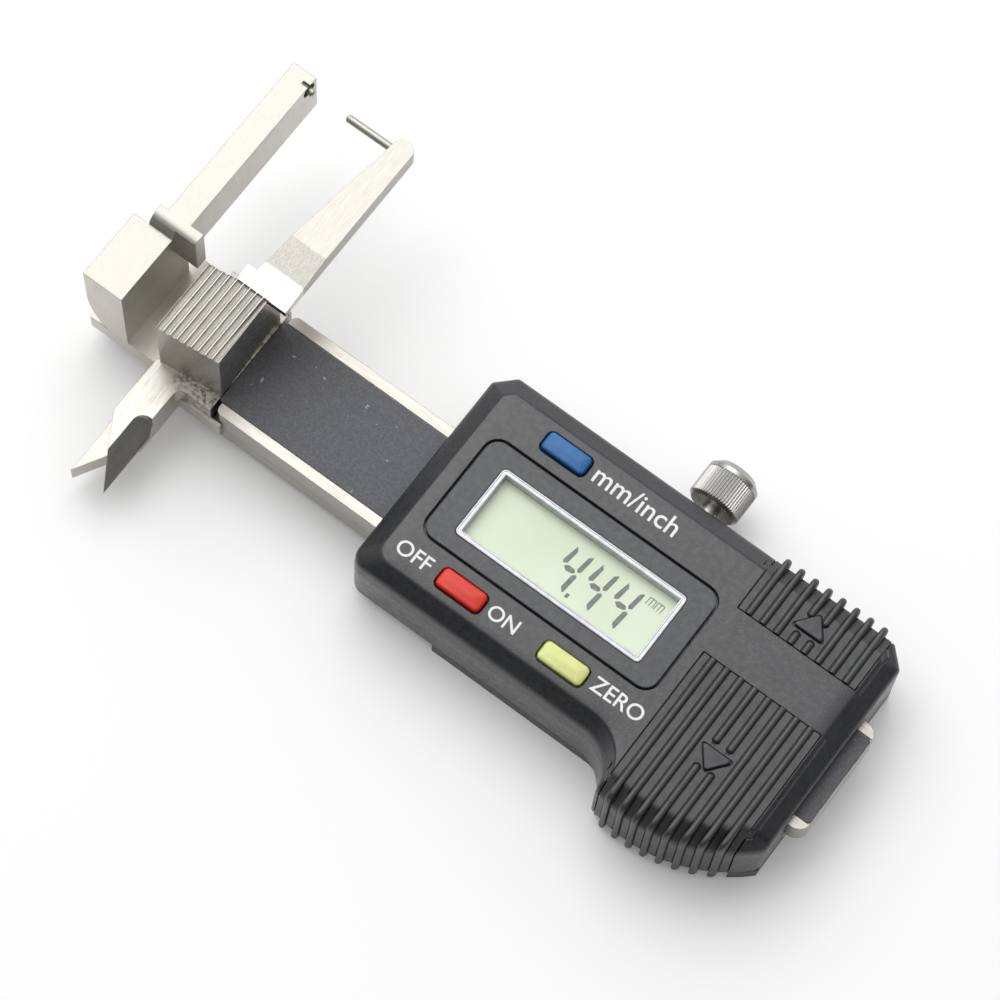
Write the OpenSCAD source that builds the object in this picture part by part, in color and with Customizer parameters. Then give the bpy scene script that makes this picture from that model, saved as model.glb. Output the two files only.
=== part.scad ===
// Digital gem gauge, lying on its back with the jaws open at the reading on its display.
// +X runs along the beam from the jaws to the tail, +Y towards the caliper arms, +Z out of the display.
// Heights are measured from the surface it lies on; lengths along X from the zero line of the jaws.

/* [Reading] */
// Opening of the jaws in this pose
reading = 4.44; // [0:0.01:10]
// Largest opening that the gauge can read
reading_max = 25; // [20:0.5:25]

/* [Beam] */
// Width of the sliding beam and of the guide plate under it
beam_w = 14; // [13:0.1:14.6]
// Thickness of the sliding beam
beam_t = 3.65; // [3.2:0.05:3.9]
// Where the beam's full width starts, behind the foot of the moving jaw
beam_front = 12.4; // [12.2:0.1:14]
// Part of the tail that stands out of the case in this pose
tail_out = 1.95; // [1:0.05:4]
// Corner radius of the tail in plan
tail_r = 1.5; // [0.5:0.1:2.5]
// Corner radius of the beam's front end in plan
front_r = 0.8; // [0.4:0.1:1.2]
// Width of the bright rails left beside the scale label
rail_w = 1.25; // [0.8:0.05:2]
// Depth of the recess that holds the scale label
label_recess = 0.15; // [0.1:0.01:0.3]
// Thickness of the scale label
label_t = 0.12; // [0.08:0.01:0.2]
// Height of the tongue on the beam's front end, which carries the foot
tongue_t = 1.25; // [1:0.05:1.3]
// Length of that tongue ahead of the rails
tongue_len = 3.5; // [2.5:0.1:3.5]
// Width of that tongue
tongue_w = 9; // [6:0.1:9]

/* [Guide plate and fixed jaw] */
// Thickness of the guide plate
guide_t = 2.4; // [2:0.05:2.8]
// Width of the guide plate inside the case, where the slide frame stands on it
guide_wide = 19.4; // [19.2:0.1:19.8]
// Thickness of the fixed jaw plate, which is also the rear blade
jaw_plate_t = 2.5; // [2:0.05:2.8]
// Lap of the jaw plate over the guide plate, measured in height
lap_t = 1.2; // [0.9:0.05:1.4]
// Rear end of the jaw plate's lap
lap_end = 13.3; // [12.5:0.1:15]
// Width of the rim of the jaw plate beside the beam
rim_w = 0.45; // [0.3:0.05:0.8]
// Right end of the floor between the two thumb blocks
floor_end = 4.1; // [3:0.1:4.1]
// Diameter of the rivets that join the plates
rivet_d = 1.6; // [1.2:0.1:2]
// Distance of the jaw plate's rivets from the middle of the beam
rivet_y = 4; // [3:0.1:5]
// Distance of the foot's rivets from the middle of the beam
foot_rivet_y = 2.6; // [2:0.1:3]

/* [Blades] */
// Where the tips of both blades meet at zero
blade_zero = 3.68; // [3.2:0.02:3.7]
// Reach of the blade tips beyond the middle of the beam
blade_reach = 20.95; // [18:0.1:24]
// Width of the leg that each blade grows from
leg_w = 3.95; // [3.5:0.05:4]
// Angle between the back of a blade and its measuring edge
blade_angle = 30; // [26:0.5:34]
// Length of each blade along its bevelled measuring edge
blade_len = 8.9; // [7:0.1:10]
// Width of the bevel on each blade, seen from above
bevel_w = 2.1; // [1.5:0.05:2.3]
// Step of the measuring edge beyond the leg
blade_step = 0.47; // [0.3:0.01:0.6]

/* [Foot of the moving jaw] */
// Reach of the foot beside the beam, measured from the middle
foot_reach = 7.2; // [7:0.05:7.4]
// Gap between the foot and the front end of the rails
slit = 0.5; // [0.3:0.05:0.8]
// Radius in the corner between the foot and its leg
foot_fillet = 1; // [0.5:0.1:1.5]

/* [Thumb blocks] */
// Height of the tops of both blocks over the beam
block_h = 9.8; // [8:0.1:11]
// Gap that stays between the blocks at zero
block_gap = 0.3; // [0.2:0.05:0.6]
// Width of the fixed block along the beam
block_1_w = 5.15; // [4.5:0.05:5.6]
// Face of the fixed block, measured from the zero line
block_1_face = -0.55; // [-0.9:0.05:-0.5]
// Near side of the fixed block
block_1_near = -5.85; // [-6.2:0.05:-5]
// Depth of the fixed block
block_1_d = 8.65; // [7:0.05:9.5]
// Radius at the foot of the fixed block's outer side
block_1_r = 3; // [1:0.1:4]
// Width of the moving block along the beam
block_2_w = 7.75; // [7:0.05:7.8]
// Near side of the moving block
block_2_near = -6; // [-6.2:0.05:-5.5]
// Depth of the moving block
block_2_d = 9; // [8:0.05:9.5]
// Skew of the near and far sides of the moving block
block_2_skew = 6; // [0:0.5:8]
// Distance between the grip ridges
ridge_pitch = 0.86; // [0.7:0.02:1.2]
// Depth of the grooves between the ridges
ridge_h = 0.4; // [0.2:0.02:0.43]

/* [Arms and pins] */
// Height of the arms over the blocks
arm_rise = 1.4; // [0.8:0.1:2.5]
// Length of the ramp on which the moving arm rises
arm_ramp = 7; // [4:0.1:10]
// Reach of the arms beyond the middle of the beam
arm_reach = 26.6; // [22:0.1:32]
// Width of the fixed arm
arm_1_w = 3.05; // [2.5:0.05:3.4]
// Right side of the fixed arm, measured from the zero line
arm_1_side = 0.4; // [0:0.05:0.8]
// Height of the fixed arm
arm_1_t = 6.5; // [5:0.1:7]
// Thickness of the moving arm
arm_2_t = 2.4; // [1.8:0.1:3]
// Depth of the root of each arm
arm_root = 2.1; // [1.5:0.1:3]
// How far the fixed arm's root reaches beside the arm, on the right
root_step = 1.7; // [0.5:0.1:1.8]
// Width of the moving arm at its tip
arm_2_w = 2.45; // [2.2:0.05:3]
// Width of the moving arm at its root
arm_2_root_w = 5.5; // [4.5:0.1:6]
// Right side of the moving arm, measured from its zero position
arm_2_side = 9.6; // [9:0.05:10]
// Diameter of the measuring pins
pin_d = 0.95; // [0.8:0.05:1.4]
// Where the tips of both pins meet at zero
pin_zero = 1.15; // [1.1:0.02:1.4]
// Distance from the ends of the arms to the middle of the pins
pin_inset = 1.3; // [1:0.05:2]
// Depth of each pin's hole in its arm
pin_seat = 1.8; // [1.2:0.1:2]
// Diameter of the tip of each pin
pin_tip_d = 0.6; // [0.3:0.05:0.7]

/* [Case] */
// Front end of the case, measured from the zero line
case_front = 34.3; // [34:0.1:36]
// Length of the case
case_len = 53.3; // [52.8:0.1:55]
// Far side of the case, measured from the middle of the beam
case_far = 15.25; // [15:0.05:16]
// Near side of the case in front of the bulge
case_near = 12.35; // [12.2:0.05:13]
// Height of the case over the beam
case_rise = 3.7; // [3.6:0.05:4.2]
// Width of the bevel round the case's face
bevel_case_w = 2.3; // [1.5:0.05:2.4]
// Height of that bevel
bevel_case_h = 1.8; // [1:0.05:2.2]
// Height of the long bevel on the near side
bevel_near_h = 3.5; // [3:0.05:4.2]
// Width of the long bevel on the near side
bevel_near_w = 1.95; // [1.5:0.05:2]
// Radius of the hollow corner where the bulge leaves the near side
flare_r = 3; // [1:0.1:3.4]
// Size of the cut corners on the far side, at the foot of the bevel
corner_cut = 2.1; // [1:0.1:3]
// Radius of the corners on the near side
corner_r = 2.1; // [1:0.1:3]
// Thickness of the side walls
wall = 1.2; // [1:0.05:1.4]
// Thickness of the wall that holds the display and the buttons
face_t = 1.6; // [1.5:0.05:1.7]
// Height of the floor of the rear cover, which is also how high the guide plate lies
floor_t = 1.5; // [1.2:0.05:2]
// Height of the parting line between the covers
parting_h = 2; // [1.9:0.05:2.2]
// Length of the near side that the rear cover leaves free in front
notch_len = 11.3; // [8:0.1:14]
// Radius of the bulge that the battery cover closes, at the table
bulge_r = 19.1; // [18.6:0.05:19.3]
// How much narrower the bulge gets up to its shoulder
bulge_draft = 0.2; // [0:0.05:0.5]
// Width of the slope over that shoulder
bulge_slope = 2.1; // [1:0.05:2.3]
// Height of that slope
bulge_slope_h = 2.5; // [2:0.05:3]
// Length of the flare between the near side and the battery cover
flare_w = 4.2; // [3.5:0.1:5]
// Middle of that bulge, measured from the rear end of the case
bulge_back = 13.6; // [13:0.1:14]
// Middle of that bulge, measured from the middle of the beam
bulge_y = 1.9; // [1.5:0.1:2.2]

/* [Display] */
// Distance between the display panel and the ribbed covers
panel_gap = 1.95; // [1.5:0.05:3]
// Width of the display panel
panel_w = 13.15; // [12.5:0.05:13.4]
// Distance from the front of the case to the panel
panel_back = 4.3; // [4:0.05:5]
// Middle of the panel, measured from the middle of the beam
panel_y = 1.22; // [1:0.02:1.4]
// Corner radius of the panel
panel_r = 1.6; // [1:0.1:3]
// Thickness of the panel
panel_t = 0.9; // [0.6:0.05:1]
// Groove left round the panel
panel_groove = 0.3; // [0.1:0.02:0.4]
// Distance from the frame round the display to the rear end of the panel
bezel_end = 2.75; // [2.4:0.05:4]
// Width of the frame round the display
bezel_w = 9.05; // [8:0.05:9.4]
// Breadth of the frame's rim
bezel_rim = 0.7; // [0.5:0.05:1]
// Height that the frame stands over the panel
bezel_proud = 0.12; // [0.05:0.01:0.25]
// Distance from the front of the panel to the frame
bezel_back = 2.95; // [2.4:0.05:3.2]
// Thickness of the clear window
window_t = 0.5; // [0.3:0.05:0.6]
// Thickness of the display glass
lcd_t = 0.9; // [0.7:0.05:0.95]
// How far the display glass reaches beyond the frame
lcd_over = 0.3; // [0.2:0.02:0.4]

/* [Buttons] */
// Length of a button
button_len = 5.6; // [4.5:0.1:6]
// Width of a button
button_w = 2.3; // [1.8:0.05:2.6]
// Radius of the corners of a button
button_r = 0.55; // [0.3:0.05:1.1]
// Height of a button over the face of the case
button_proud = 0.9; // [0.4:0.05:1.2]
// How far a button goes down
button_travel = 0.35; // [0.2:0.01:0.4]
// Distance from the front of the case to the two front buttons
button_front = 11.8; // [10.5:0.1:13]
// How far ahead of the near one the far button stands
button_ahead = 0.25; // [0:0.05:0.5]
// Distance from the near front button to the rear button
button_pitch = 13.2; // [12:0.1:14]
// Row of the two near buttons, measured from the middle of the beam
button_near = 8.15; // [8:0.05:8.4]
// Row of the far button, measured from the middle of the beam
button_far = 10.75; // [10.4:0.05:11]

/* [Ribbed covers] */
// Length of both ribbed covers along the beam
cover_len = 14.9; // [14:0.1:15.2]
// Distance from the rear of the case to both covers
cover_back = 2.45; // [2.4:0.05:2.8]
// Far edge of the battery cover
cover_edge = 1.75; // [1:0.05:2]
// Near edge of the data port cover
port_edge = 7.95; // [7.6:0.05:8.4]
// Distance between the eight ribs on each cover
rib_pitch = 1.77; // [1.6:0.01:1.85]
// Diameter of the round ribs
rib_d = 0.8; // [0.7:0.05:1]
// Height of the ribs over the covers
rib_h = 0.3; // [0.2:0.05:0.35]
// Width of the arrows
arrow_w = 4.1; // [3:0.1:4.6]
// Length of the arrows
arrow_len = 2.6; // [2:0.1:3]
// Wide end of the arrow on the battery cover, measured from the middle of the beam
arrow_near = 6.1; // [5:0.1:8]
// Wide end of the arrow on the data port cover, measured from the middle of the beam
arrow_far = 9.9; // [9.7:0.05:10.2]
// Thickness of the covers
cover_t = 1; // [0.95:0.05:1.1]
// Width of the tongues that hold the covers in their grooves
cover_tongue = 0.6; // [0.4:0.05:0.7]
// Length of the battery cover's tongues
tongue_battery = 15.75; // [6:0.05:16]

/* [Battery] */
// Diameter of the coin cell
cell_d = 12.5; // [11.6:0.1:12.6]
// Thickness of the coin cell
cell_t = 1.6; // [1.2:0.05:1.8]
// How far the cell lies ahead of the middle of its cover
cell_ahead = 0.6; // [0:0.1:1]
// Breadth of the tray's rim round the cell
tray_rim = 0.5; // [0.4:0.05:0.6]

// Width of the contact that touches the side of the cell
contact_w = 4; // [2:0.1:5]
// Thickness of that contact
contact_t = 0.3; // [0.2:0.02:0.3]

/* [Data port] */
// Length of the contact block under the far cover
port_len = 10; // [8:0.1:12]
// Distance between its four contacts
port_pitch = 2; // [1.5:0.05:2.4]
// Size of the wells of those contacts
port_well = 0.9; // [0.7:0.05:1.1]

/* [Lock screw] */
// Diameter of the knurled knob
knob_d = 6.2; // [5:0.1:7]
// Length of the knurled knob
knob_len = 4.9; // [4:0.1:6]
// Gap between the case and the knob
knob_gap = 1.7; // [1:0.1:2.5]
// Distance from the front of the case to the screw
knob_back = 26.6; // [24:0.1:28]
// Diameter of the screw's shank
shank_d = 2; // [1.6:0.1:2.2]
// Number of knurls round the knob
knurls = 56; // [24:2:60]

/* [Slide frame] */
// Thickness of the frame over the beam
frame_t = 0.45; // [0.4:0.02:0.45]
// Thickness of the brass gib strip
gib_t = 0.6; // [0.5:0.02:0.65]
// Diameter of the gib screws
gib_screw_d = 1.4; // [1.2:0.1:1.6]
// Distance of the gib screws from the ends of the strip
gib_screw_in = 4; // [2:0.1:6]
// Diameter of the screws that hold the case together
screw_d = 1.6; // [1.4:0.1:1.7]
// Diameter of their heads
screw_head_d = 3; // [2.6:0.1:3.2]
// Distance from the front of the case to the front screws
screw_front = 4.4; // [4.2:0.1:4.6]
// Distance of the rear screws ahead of the panel's rear end
screw_rear = 1; // [0.6:0.1:1.2]
// Distance of the screws from the middle of the beam
screw_y = 8.55; // [8.5:0.02:8.6]
// Diameter of the stop pin in the beam
stop_d = 1.5; // [1.2:0.1:2]
// Distance from the front of the case to the stop pin in this pose
stop_back = 16; // [14:0.5:20]

/* [Fits] */
// Sliding clearance on each side of the beam
slide_fit = 0.05; // [0.03:0.01:0.08]
// Clearance round the buttons
button_fit = 0.18; // [0.05:0.01:0.2]
// Clearance round the ribbed covers
cover_fit = 0.1; // [0.05:0.01:0.15]
// Clearance round screws and pins
screw_fit = 0.05; // [0.03:0.01:0.08]
// Clearance round the fixed inserts of the display
seat_fit = 0.03; // [0.02:0.01:0.06]

/* [Hidden] */
$fn = 48;
// A hair of overlap for cuts that run past a face
eps = 0.01;
// A span larger than the whole object
far_away = 200;

// Colours
steel = [0.80, 0.80, 0.79];
polished = [0.90, 0.90, 0.88];
charcoal = [0.27, 0.28, 0.29];
dark_plastic = [0.22, 0.23, 0.24];
slate = [0.36, 0.36, 0.38];
brass = [0.75, 0.62, 0.34];
board_green = [0.12, 0.36, 0.22];

// Heights of the layers
guide_top = floor_t + guide_t;
beam_bottom = guide_top + slide_fit;
beam_top = beam_bottom + beam_t;
plate_bottom = guide_top - lap_t;
plate_top = plate_bottom + jaw_plate_t;
foot_bottom = beam_bottom + tongue_t;
block_top = beam_top + block_h;
arm_top = block_top + arm_rise;
case_top = beam_top + case_rise;
face_bottom = case_top - face_t;
frame_top = beam_top + slide_fit + frame_t;
side_top = case_top - bevel_near_h;
shoulder = case_top - bevel_case_h;

// Places along the beam
beam_half = beam_w / 2;
case_rear = case_front + case_len;
beam_end = case_rear + tail_out;
block_1_left = block_1_face - block_1_w;
block_2_left = block_1_face + block_gap + reading;
block_2_far = block_2_near + block_2_d;
ridge_step = 0.42 * block_2_w;
step_far = block_2_far + ridge_step * tan(block_2_skew);
root_near = step_far + 0.1;
foot_end = beam_front - slit;
tongue_front = beam_front - tongue_len;
blade_2_edge = blade_zero + reading;
leg_2_right = blade_2_edge - blade_step;
arm_2_right = arm_2_side + reading;
leg_right = blade_zero + leg_w;
travel_back = reading;
travel_out = reading_max - reading;

// The display and the buttons
panel_len = case_len - panel_back - panel_gap - cover_len - cover_back;
panel_front = case_front + panel_back;
panel_mid = panel_front + panel_len / 2;
bezel_len = panel_len - bezel_back - bezel_end;
bezel_front = panel_front + bezel_back;
bezel_mid = bezel_front + bezel_len / 2;
bezel_y = panel_y - 0.17;
bezel_top = case_top + bezel_proud;
lcd_top = face_bottom + 0.35;
lcd_bottom = lcd_top - lcd_t;
board_t = 0.6;
board_top = frame_top + board_t;
board_front = case_front + 6.2;
board_far = 12.8;
flange = 0.3;
flange_t = 0.3;
flange_top = face_bottom - 0.05;
switch_h = flange_top - flange_t - board_top - button_travel - 0.05;
button_x = [case_front + button_front - button_ahead, case_front + button_front, case_front + button_front + button_pitch];
button_y = [button_far, -button_near, -button_near];

// The ribbed covers
cover_rear = case_rear - cover_back;
cover_front = cover_rear - cover_len;
cover_mid = cover_rear - cover_len / 2;
cover_under = case_top - cover_t;
arrow_h = 0.35;
tongue_h = 0.5;
ledge = 0.6;
lip_h = 2.4;
lip_w = wall + 0.7;
bulge_top = case_top - bulge_slope_h;
rib_z = case_top + rib_h - rib_d / 2;
bulge_x = case_rear - bulge_back;
cell_x = cover_mid - cell_ahead;
tray_gap = 4.85;
board_len = cell_x - cell_d / 2 - tray_rim - tray_gap - board_front;
cell_y = cover_edge - 0.7 - cell_d / 2;
cell_bottom = frame_top + 0.15;

// The slide frame, its screws and the lock screw
frame_front = case_front + wall + 0.6;
frame_rear = case_rear - wall - 0.6;
frame_half = guide_wide / 2;
board_near = frame_half - 0.1;
gib_inner = beam_half + slide_fit;
gib_outer = gib_inner + gib_t;
gib_h = 3.2;
gib_front = frame_front + 4;
gib_rear = frame_rear - 6;
lock_x = case_front + knob_back;
lock_z = (beam_bottom + beam_top) / 2;
knob_start = case_far + knob_gap;
screw_x = [case_front + screw_front, panel_front + panel_len - screw_rear];
boss_d = screw_d + 1.4;
head_h = 0.9;
stop_x = case_front + stop_back;

// The frame of the whole object, with its origin at the middle of its lower side
mid_x = (block_1_left + beam_end) / 2;
mid_y = (arm_reach - blade_reach) / 2;

module slab(z0, z1) translate([0, 0, z0]) linear_extrude(z1 - z0) children();

module bar(x, y, z) translate([x[0], y[0], z[0]]) cube([x[1] - x[0], y[1] - y[0], z[1] - z[0]]);

module rod_x(x0, x1, y, z, d) translate([x0, y, z]) rotate([0, 90, 0]) cylinder(h = x1 - x0, d = d);

module rod_y(y0, y1, x, z, d) translate([x, y0, z]) rotate([-90, 0, 0]) cylinder(h = y1 - y0, d = d);

module rounded(len, w, r) {
    square([len - 2 * r, w], center = true);
    square([len, w - 2 * r], center = true);
    for (x = [-1, 1], y = [-1, 1]) translate([x * (len / 2 - r), y * (w / 2 - r)]) circle(r);
}

function arc(x, y, r, a0, a1, steps) =
    [for (i = [0:steps]) let (a = a0 + (a1 - a0) * i / steps) [x + r * cos(a), y + r * sin(a)]];

// Outline of the case without its bulge, each side moved in by its own amount
module case_outline(front_in, near_in, far_in) {
    front = case_front + front_in;
    rear = case_rear - front_in;
    near = -case_near + near_in;
    far = case_far - far_in;
    cut = max(0.1, corner_cut - 0.6 * front_in);
    polygon(concat(
        [[front + cut, far], [front, far - cut]],
        arc(front + corner_r, near + corner_r, corner_r, 180, 270, 6),
        arc(rear - corner_r, near + corner_r, corner_r, 270, 360, 6),
        [[rear, far - cut], [rear - cut, far]]));
}

// Closed form of the case in front of and behind the bulge, every face moved in by gap
module case_body(gap) {
    hull() {
        slab(0, side_top - gap / 2) case_outline(gap, gap, gap);
        slab(side_top + 0.25 * bevel_near_h - gap / 2 - eps, side_top + 0.25 * bevel_near_h - gap / 2)
            case_outline(gap, gap + 0.05 * bevel_near_w, gap);
        slab(shoulder - gap / 2 - eps, shoulder - gap / 2)
            case_outline(gap, gap + 0.13 * bevel_near_w, gap);
        slab(case_top - gap - eps, case_top - gap)
            case_outline(gap + bevel_case_w, gap + bevel_near_w, gap + bevel_case_w);
    }
}

// Radius of the bulge at a height
function bulge_at(z) = z < bulge_top ? bulge_r - bulge_draft * z / bulge_top
    : bulge_r - bulge_draft - bulge_slope * (z - bulge_top) / bulge_slope_h;

// The round bulge on the near side, with its faces moved in by gap, up to a height
module bulge_body(gap, top) translate([bulge_x, bulge_y, 0]) {
    cylinder(h = bulge_top, r1 = bulge_r - gap, r2 = bulge_at(bulge_top) - gap, $fn = 180);
    translate([0, 0, bulge_top]) cylinder(h = top - bulge_top,
        r1 = bulge_at(bulge_top) - gap, r2 = bulge_at(top) - gap, $fn = 180);
}

// Plan of the part of the case that the bulge fills, between two lines along the beam
module bulge_plan(front, rear) {
    near = -case_near - 8;
    polygon([[front - flare_w, -case_near + 3.4], [front, -case_near - 4.3], [front + 1, near],
        [rear, near], [rear, 0], [front - flare_w, 0]]);
}

// Plan of the same part up to the side's upper edge, with its hollow corner rounded
module flare_plan(front) {
    turn = atan(7.7 / flare_w);
    x = front - flare_w * 4.3 / 7.7 - flare_r * tan(turn / 2);
    polygon(concat([[front + 1, 0], [x, 0]], arc(x, -case_near - flare_r, flare_r, 90, 90 - turn, 8),
        [[front, -case_near - 4.3], [front + 1, -case_near - 4.3]]));
}

module case_form(gap) {
    case_body(gap);
    intersection() {
        bulge_body(gap, case_top - gap);
        union() {
            slab(0, case_top) bulge_plan(cover_front + gap, case_rear - gap);
            slab(0, side_top) flare_plan(cover_front + gap);
        }
    }
}

// Slots for the beam and the guide plate, which pass right through the case
module beam_way() {
    clear = 0.3;
    bar([case_front - 1, case_rear + 1], [-beam_half - clear, beam_half + clear],
        [floor_t, beam_top + clear]);
}

module case_screw_holes(d, z0, z1) {
    for (x = screw_x, y = [-screw_y, screw_y]) translate([x, y, z0]) cylinder(h = z1 - z0, d = d);
}

// Opening of a ribbed cover, with the grooves for its tongues
module cover_opening(y0, y1) {
    fit = cover_fit;
    bar([cover_front - fit, cover_rear + fit], [y0, y1], [cover_under - fit, far_away]);
    bar([cover_front - cover_tongue - fit, cover_rear + cover_tongue + fit], [y0, y1],
        [cover_under - fit, cover_under + tongue_h + fit]);
}

module front_cover() color(charcoal) {
    difference() {
        intersection() {
            case_form(0);
            slab(parting_h, case_top + 1) square(far_away, center = true);
        }
        // The hollow, which stops short of the solid near corner in front
        difference() {
            intersection() {
                case_form(wall);
                slab(0, face_bottom) square(far_away, center = true);
            }
            bar([case_front, case_front + notch_len + wall], [-case_near, -frame_half - 0.1], [0, face_bottom]);
            for (x = screw_x, y = [-screw_y, screw_y])
                translate([x, y, frame_top]) cylinder(h = case_top, d = boss_d);
        }
        beam_way();
        case_screw_holes(screw_d + 2 * screw_fit, 0, face_bottom);
        // The pocket of the panel, and the display's opening through the face
        translate([panel_mid, panel_y, 0]) slab(case_top - panel_t, case_top + 1)
            rounded(panel_len + 2 * panel_groove, panel_w + 2 * panel_groove, panel_r + panel_groove);
        translate([bezel_mid, bezel_y, 0]) {
            slab(0, case_top) square([bezel_len + 2 * seat_fit, bezel_w + 2 * seat_fit], center = true);
            slab(0, lcd_top + seat_fit) square([bezel_len + 2 * lcd_over + 2 * seat_fit,
                bezel_w + 2 * lcd_over + 2 * seat_fit], center = true);
        }
        for (i = [0:2]) translate([button_x[i], button_y[i], 0]) slab(face_bottom - 1, case_top + 1)
            rounded(button_len + 2 * button_fit, button_w + 2 * button_fit, button_r + button_fit);
        // The battery cover's opening and the room under it
        cover_opening(-far_away, cover_edge + cover_fit);
        bar([cover_front - cover_fit, cover_rear + cover_fit], [-far_away, -case_near + wall],
            [0, far_away]);
        bar([cover_front + ledge, cover_rear - ledge], [-case_near, cover_edge - ledge],
            [frame_top, far_away]);
        translate([cell_x, cell_y, frame_top]) cylinder(h = cell_t + 0.4, d = cell_d + 0.4, $fn = 96);
        // The data port cover's opening and the room under it
        cover_opening(port_edge - cover_fit, far_away);
        bar([cover_front + ledge, cover_rear - ledge], [port_edge + ledge, case_far - lip_w],
            [frame_top, far_away]);
        bar([cover_front - cover_fit, cover_rear + cover_fit], [case_far - lip_w - cover_fit, far_away],
            [case_top - lip_h - cover_fit, far_away]);
        // The lock screw's bush
        rod_y(frame_half, far_away, lock_x, lock_z, shank_d + 2);
    }
}

module rear_cover() color(dark_plastic) {
    difference() {
        intersection() {
            case_form(0);
            slab(0, parting_h) square(far_away, center = true);
        }
        intersection() {
            case_form(wall);
            slab(floor_t, parting_h + 1) square(far_away, center = true);
        }
        beam_way();
        // The near side stays free in front of this line
        bar([case_front - 1, case_front + notch_len], [-case_near - 1, -frame_half - 0.1], [-1, far_away]);
        // Room for the teeth of the battery cover
        difference() {
            bar([cover_front - cover_fit, cover_rear + cover_fit], [-far_away, -case_near], [-1, far_away]);
            translate([bulge_x, bulge_y, -2])
                cylinder(h = far_away, r = bulge_at(parting_h) - rib_d / 2 - cover_fit, $fn = 180);
        }
        case_screw_holes(screw_d + 2 * screw_fit, -1, parting_h + 1);
        case_screw_holes(screw_head_d + 0.2, -1, head_h + 0.05);
    }
}

module guide_plate() color(steel) {
    difference() {
        union() {
            bar([floor_end, case_rear], [-beam_half, beam_half], [floor_t, guide_top]);
            bar([frame_front, frame_rear], [-frame_half, frame_half], [floor_t, guide_top]);
        }
        // The lap that the jaw plate lies on
        bar([floor_end - 1, lap_end], [-beam_w, beam_w], [plate_bottom, guide_top + 1]);
        case_screw_holes(screw_d + 2 * screw_fit, 0, beam_bottom);
        plate_rivet_holes(rivet_d);
        // The slot that the stop pin runs in
        bar([stop_x - travel_back, stop_x + travel_out],
            [-stop_d / 2 - screw_fit, stop_d / 2 + screw_fit], [0, beam_bottom]);
        for (x = [stop_x - travel_back, stop_x + travel_out])
            translate([x, 0, 0]) cylinder(h = beam_bottom, d = stop_d + 2 * screw_fit);
    }
}

module plate_rivet_holes(d) {
    for (y = [-rivet_y, rivet_y]) translate([(leg_right + lap_end) / 2, y, floor_t]) cylinder(h = guide_t, d = d);
}

// Two rails beside the beam, joined over it by a plate with a window for the board
module slide_frame() color(steel) {
    difference() {
        bar([frame_front, frame_rear], [-frame_half, frame_half], [guide_top, frame_top]);
        bar([frame_front - 1, frame_rear + 1], [-beam_half - slide_fit, gib_inner],
            [guide_top - 1, beam_top + slide_fit]);
        bar([gib_front, gib_rear], [0, gib_outer + seat_fit],
            [lock_z - gib_h / 2 - seat_fit, lock_z + gib_h / 2 + seat_fit]);
        bar([board_front + 2, board_front + board_len - 2], [-beam_half + 2, beam_half - 2],
            [beam_top, frame_top + 1]);
        case_screw_holes(screw_d + 2 * screw_fit, 0, frame_top + 1);
        rod_y(gib_inner, frame_half + 1, lock_x, lock_z, shank_d + 2 * screw_fit);
        for (x = [gib_front + gib_screw_in, gib_rear - gib_screw_in])
            rod_y(gib_inner, frame_half + 1, x, lock_z, gib_screw_d + 2 * screw_fit);
    }
}

module gib_strip() color(brass)
    bar([gib_front + 0.2, gib_rear - 0.2], [gib_inner, gib_outer], [lock_z - gib_h / 2, lock_z + gib_h / 2]);

module gib_screws() color(steel) {
    for (x = [gib_front + gib_screw_in, gib_rear - gib_screw_in]) difference() {
        rod_y(gib_outer + seat_fit, frame_half, x, lock_z, gib_screw_d);
        bar([x - 0.12, x + 0.12], [frame_half - 0.4, frame_half + 1], [lock_z - 1, lock_z + 1]);
    }
}

// A leg with a pointed blade; its measuring edge lies at the given place
module blade_plan(edge, left, root, step) {
    tip = -blade_reach;
    width = edge - left;
    polygon([[left, root], [left, tip + width / tan(blade_angle)], [edge, tip], [edge, tip + blade_len - 1],
        [edge - step, tip + blade_len], [edge - step, root]]);
}

module fixed_jaw_plate() color(polished) {
    tip = -blade_reach;
    back_start = tip + leg_w / tan(blade_angle);
    difference() {
        union() {
            slab(plate_bottom, plate_top) {
                translate([block_1_left, block_1_near]) square([floor_end - block_1_left,
                    block_1_d + arm_root + 2]);
                polygon([[blade_zero, block_1_near], [blade_zero, tip], [leg_right, back_start],
                    [leg_right, -5], [blade_zero, -5]]);
            }
            // The rim beside the beam, and the lap under it
            bar([leg_right - 1, lap_end], [-beam_half - slide_fit - rim_w, -beam_half - slide_fit],
                [plate_bottom, plate_top]);
            bar([floor_end - 1, lap_end], [-beam_half - slide_fit - rim_w, beam_half],
                [plate_bottom, guide_top]);
        }
        plate_rivet_holes(rivet_d);
        // The bevel under the rear blade's measuring edge
        translate([blade_zero, tip - 1, plate_top]) rotate([0, atan(bevel_w / jaw_plate_t), 0])
            translate([-10, 0, -10]) cube([10, blade_len + 1, 10]);
    }
}

// What a round edge takes off the near end of an arm that rises over its block
module round_end(far) difference() {
    bar([block_1_left, arm_2_right + 1], [far - 3, far + arm_rise], [block_top, arm_top + 1]);
    rod_x(block_1_left - 1, arm_2_right + 2, far + arm_rise, block_top, 2 * arm_rise);
}

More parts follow.
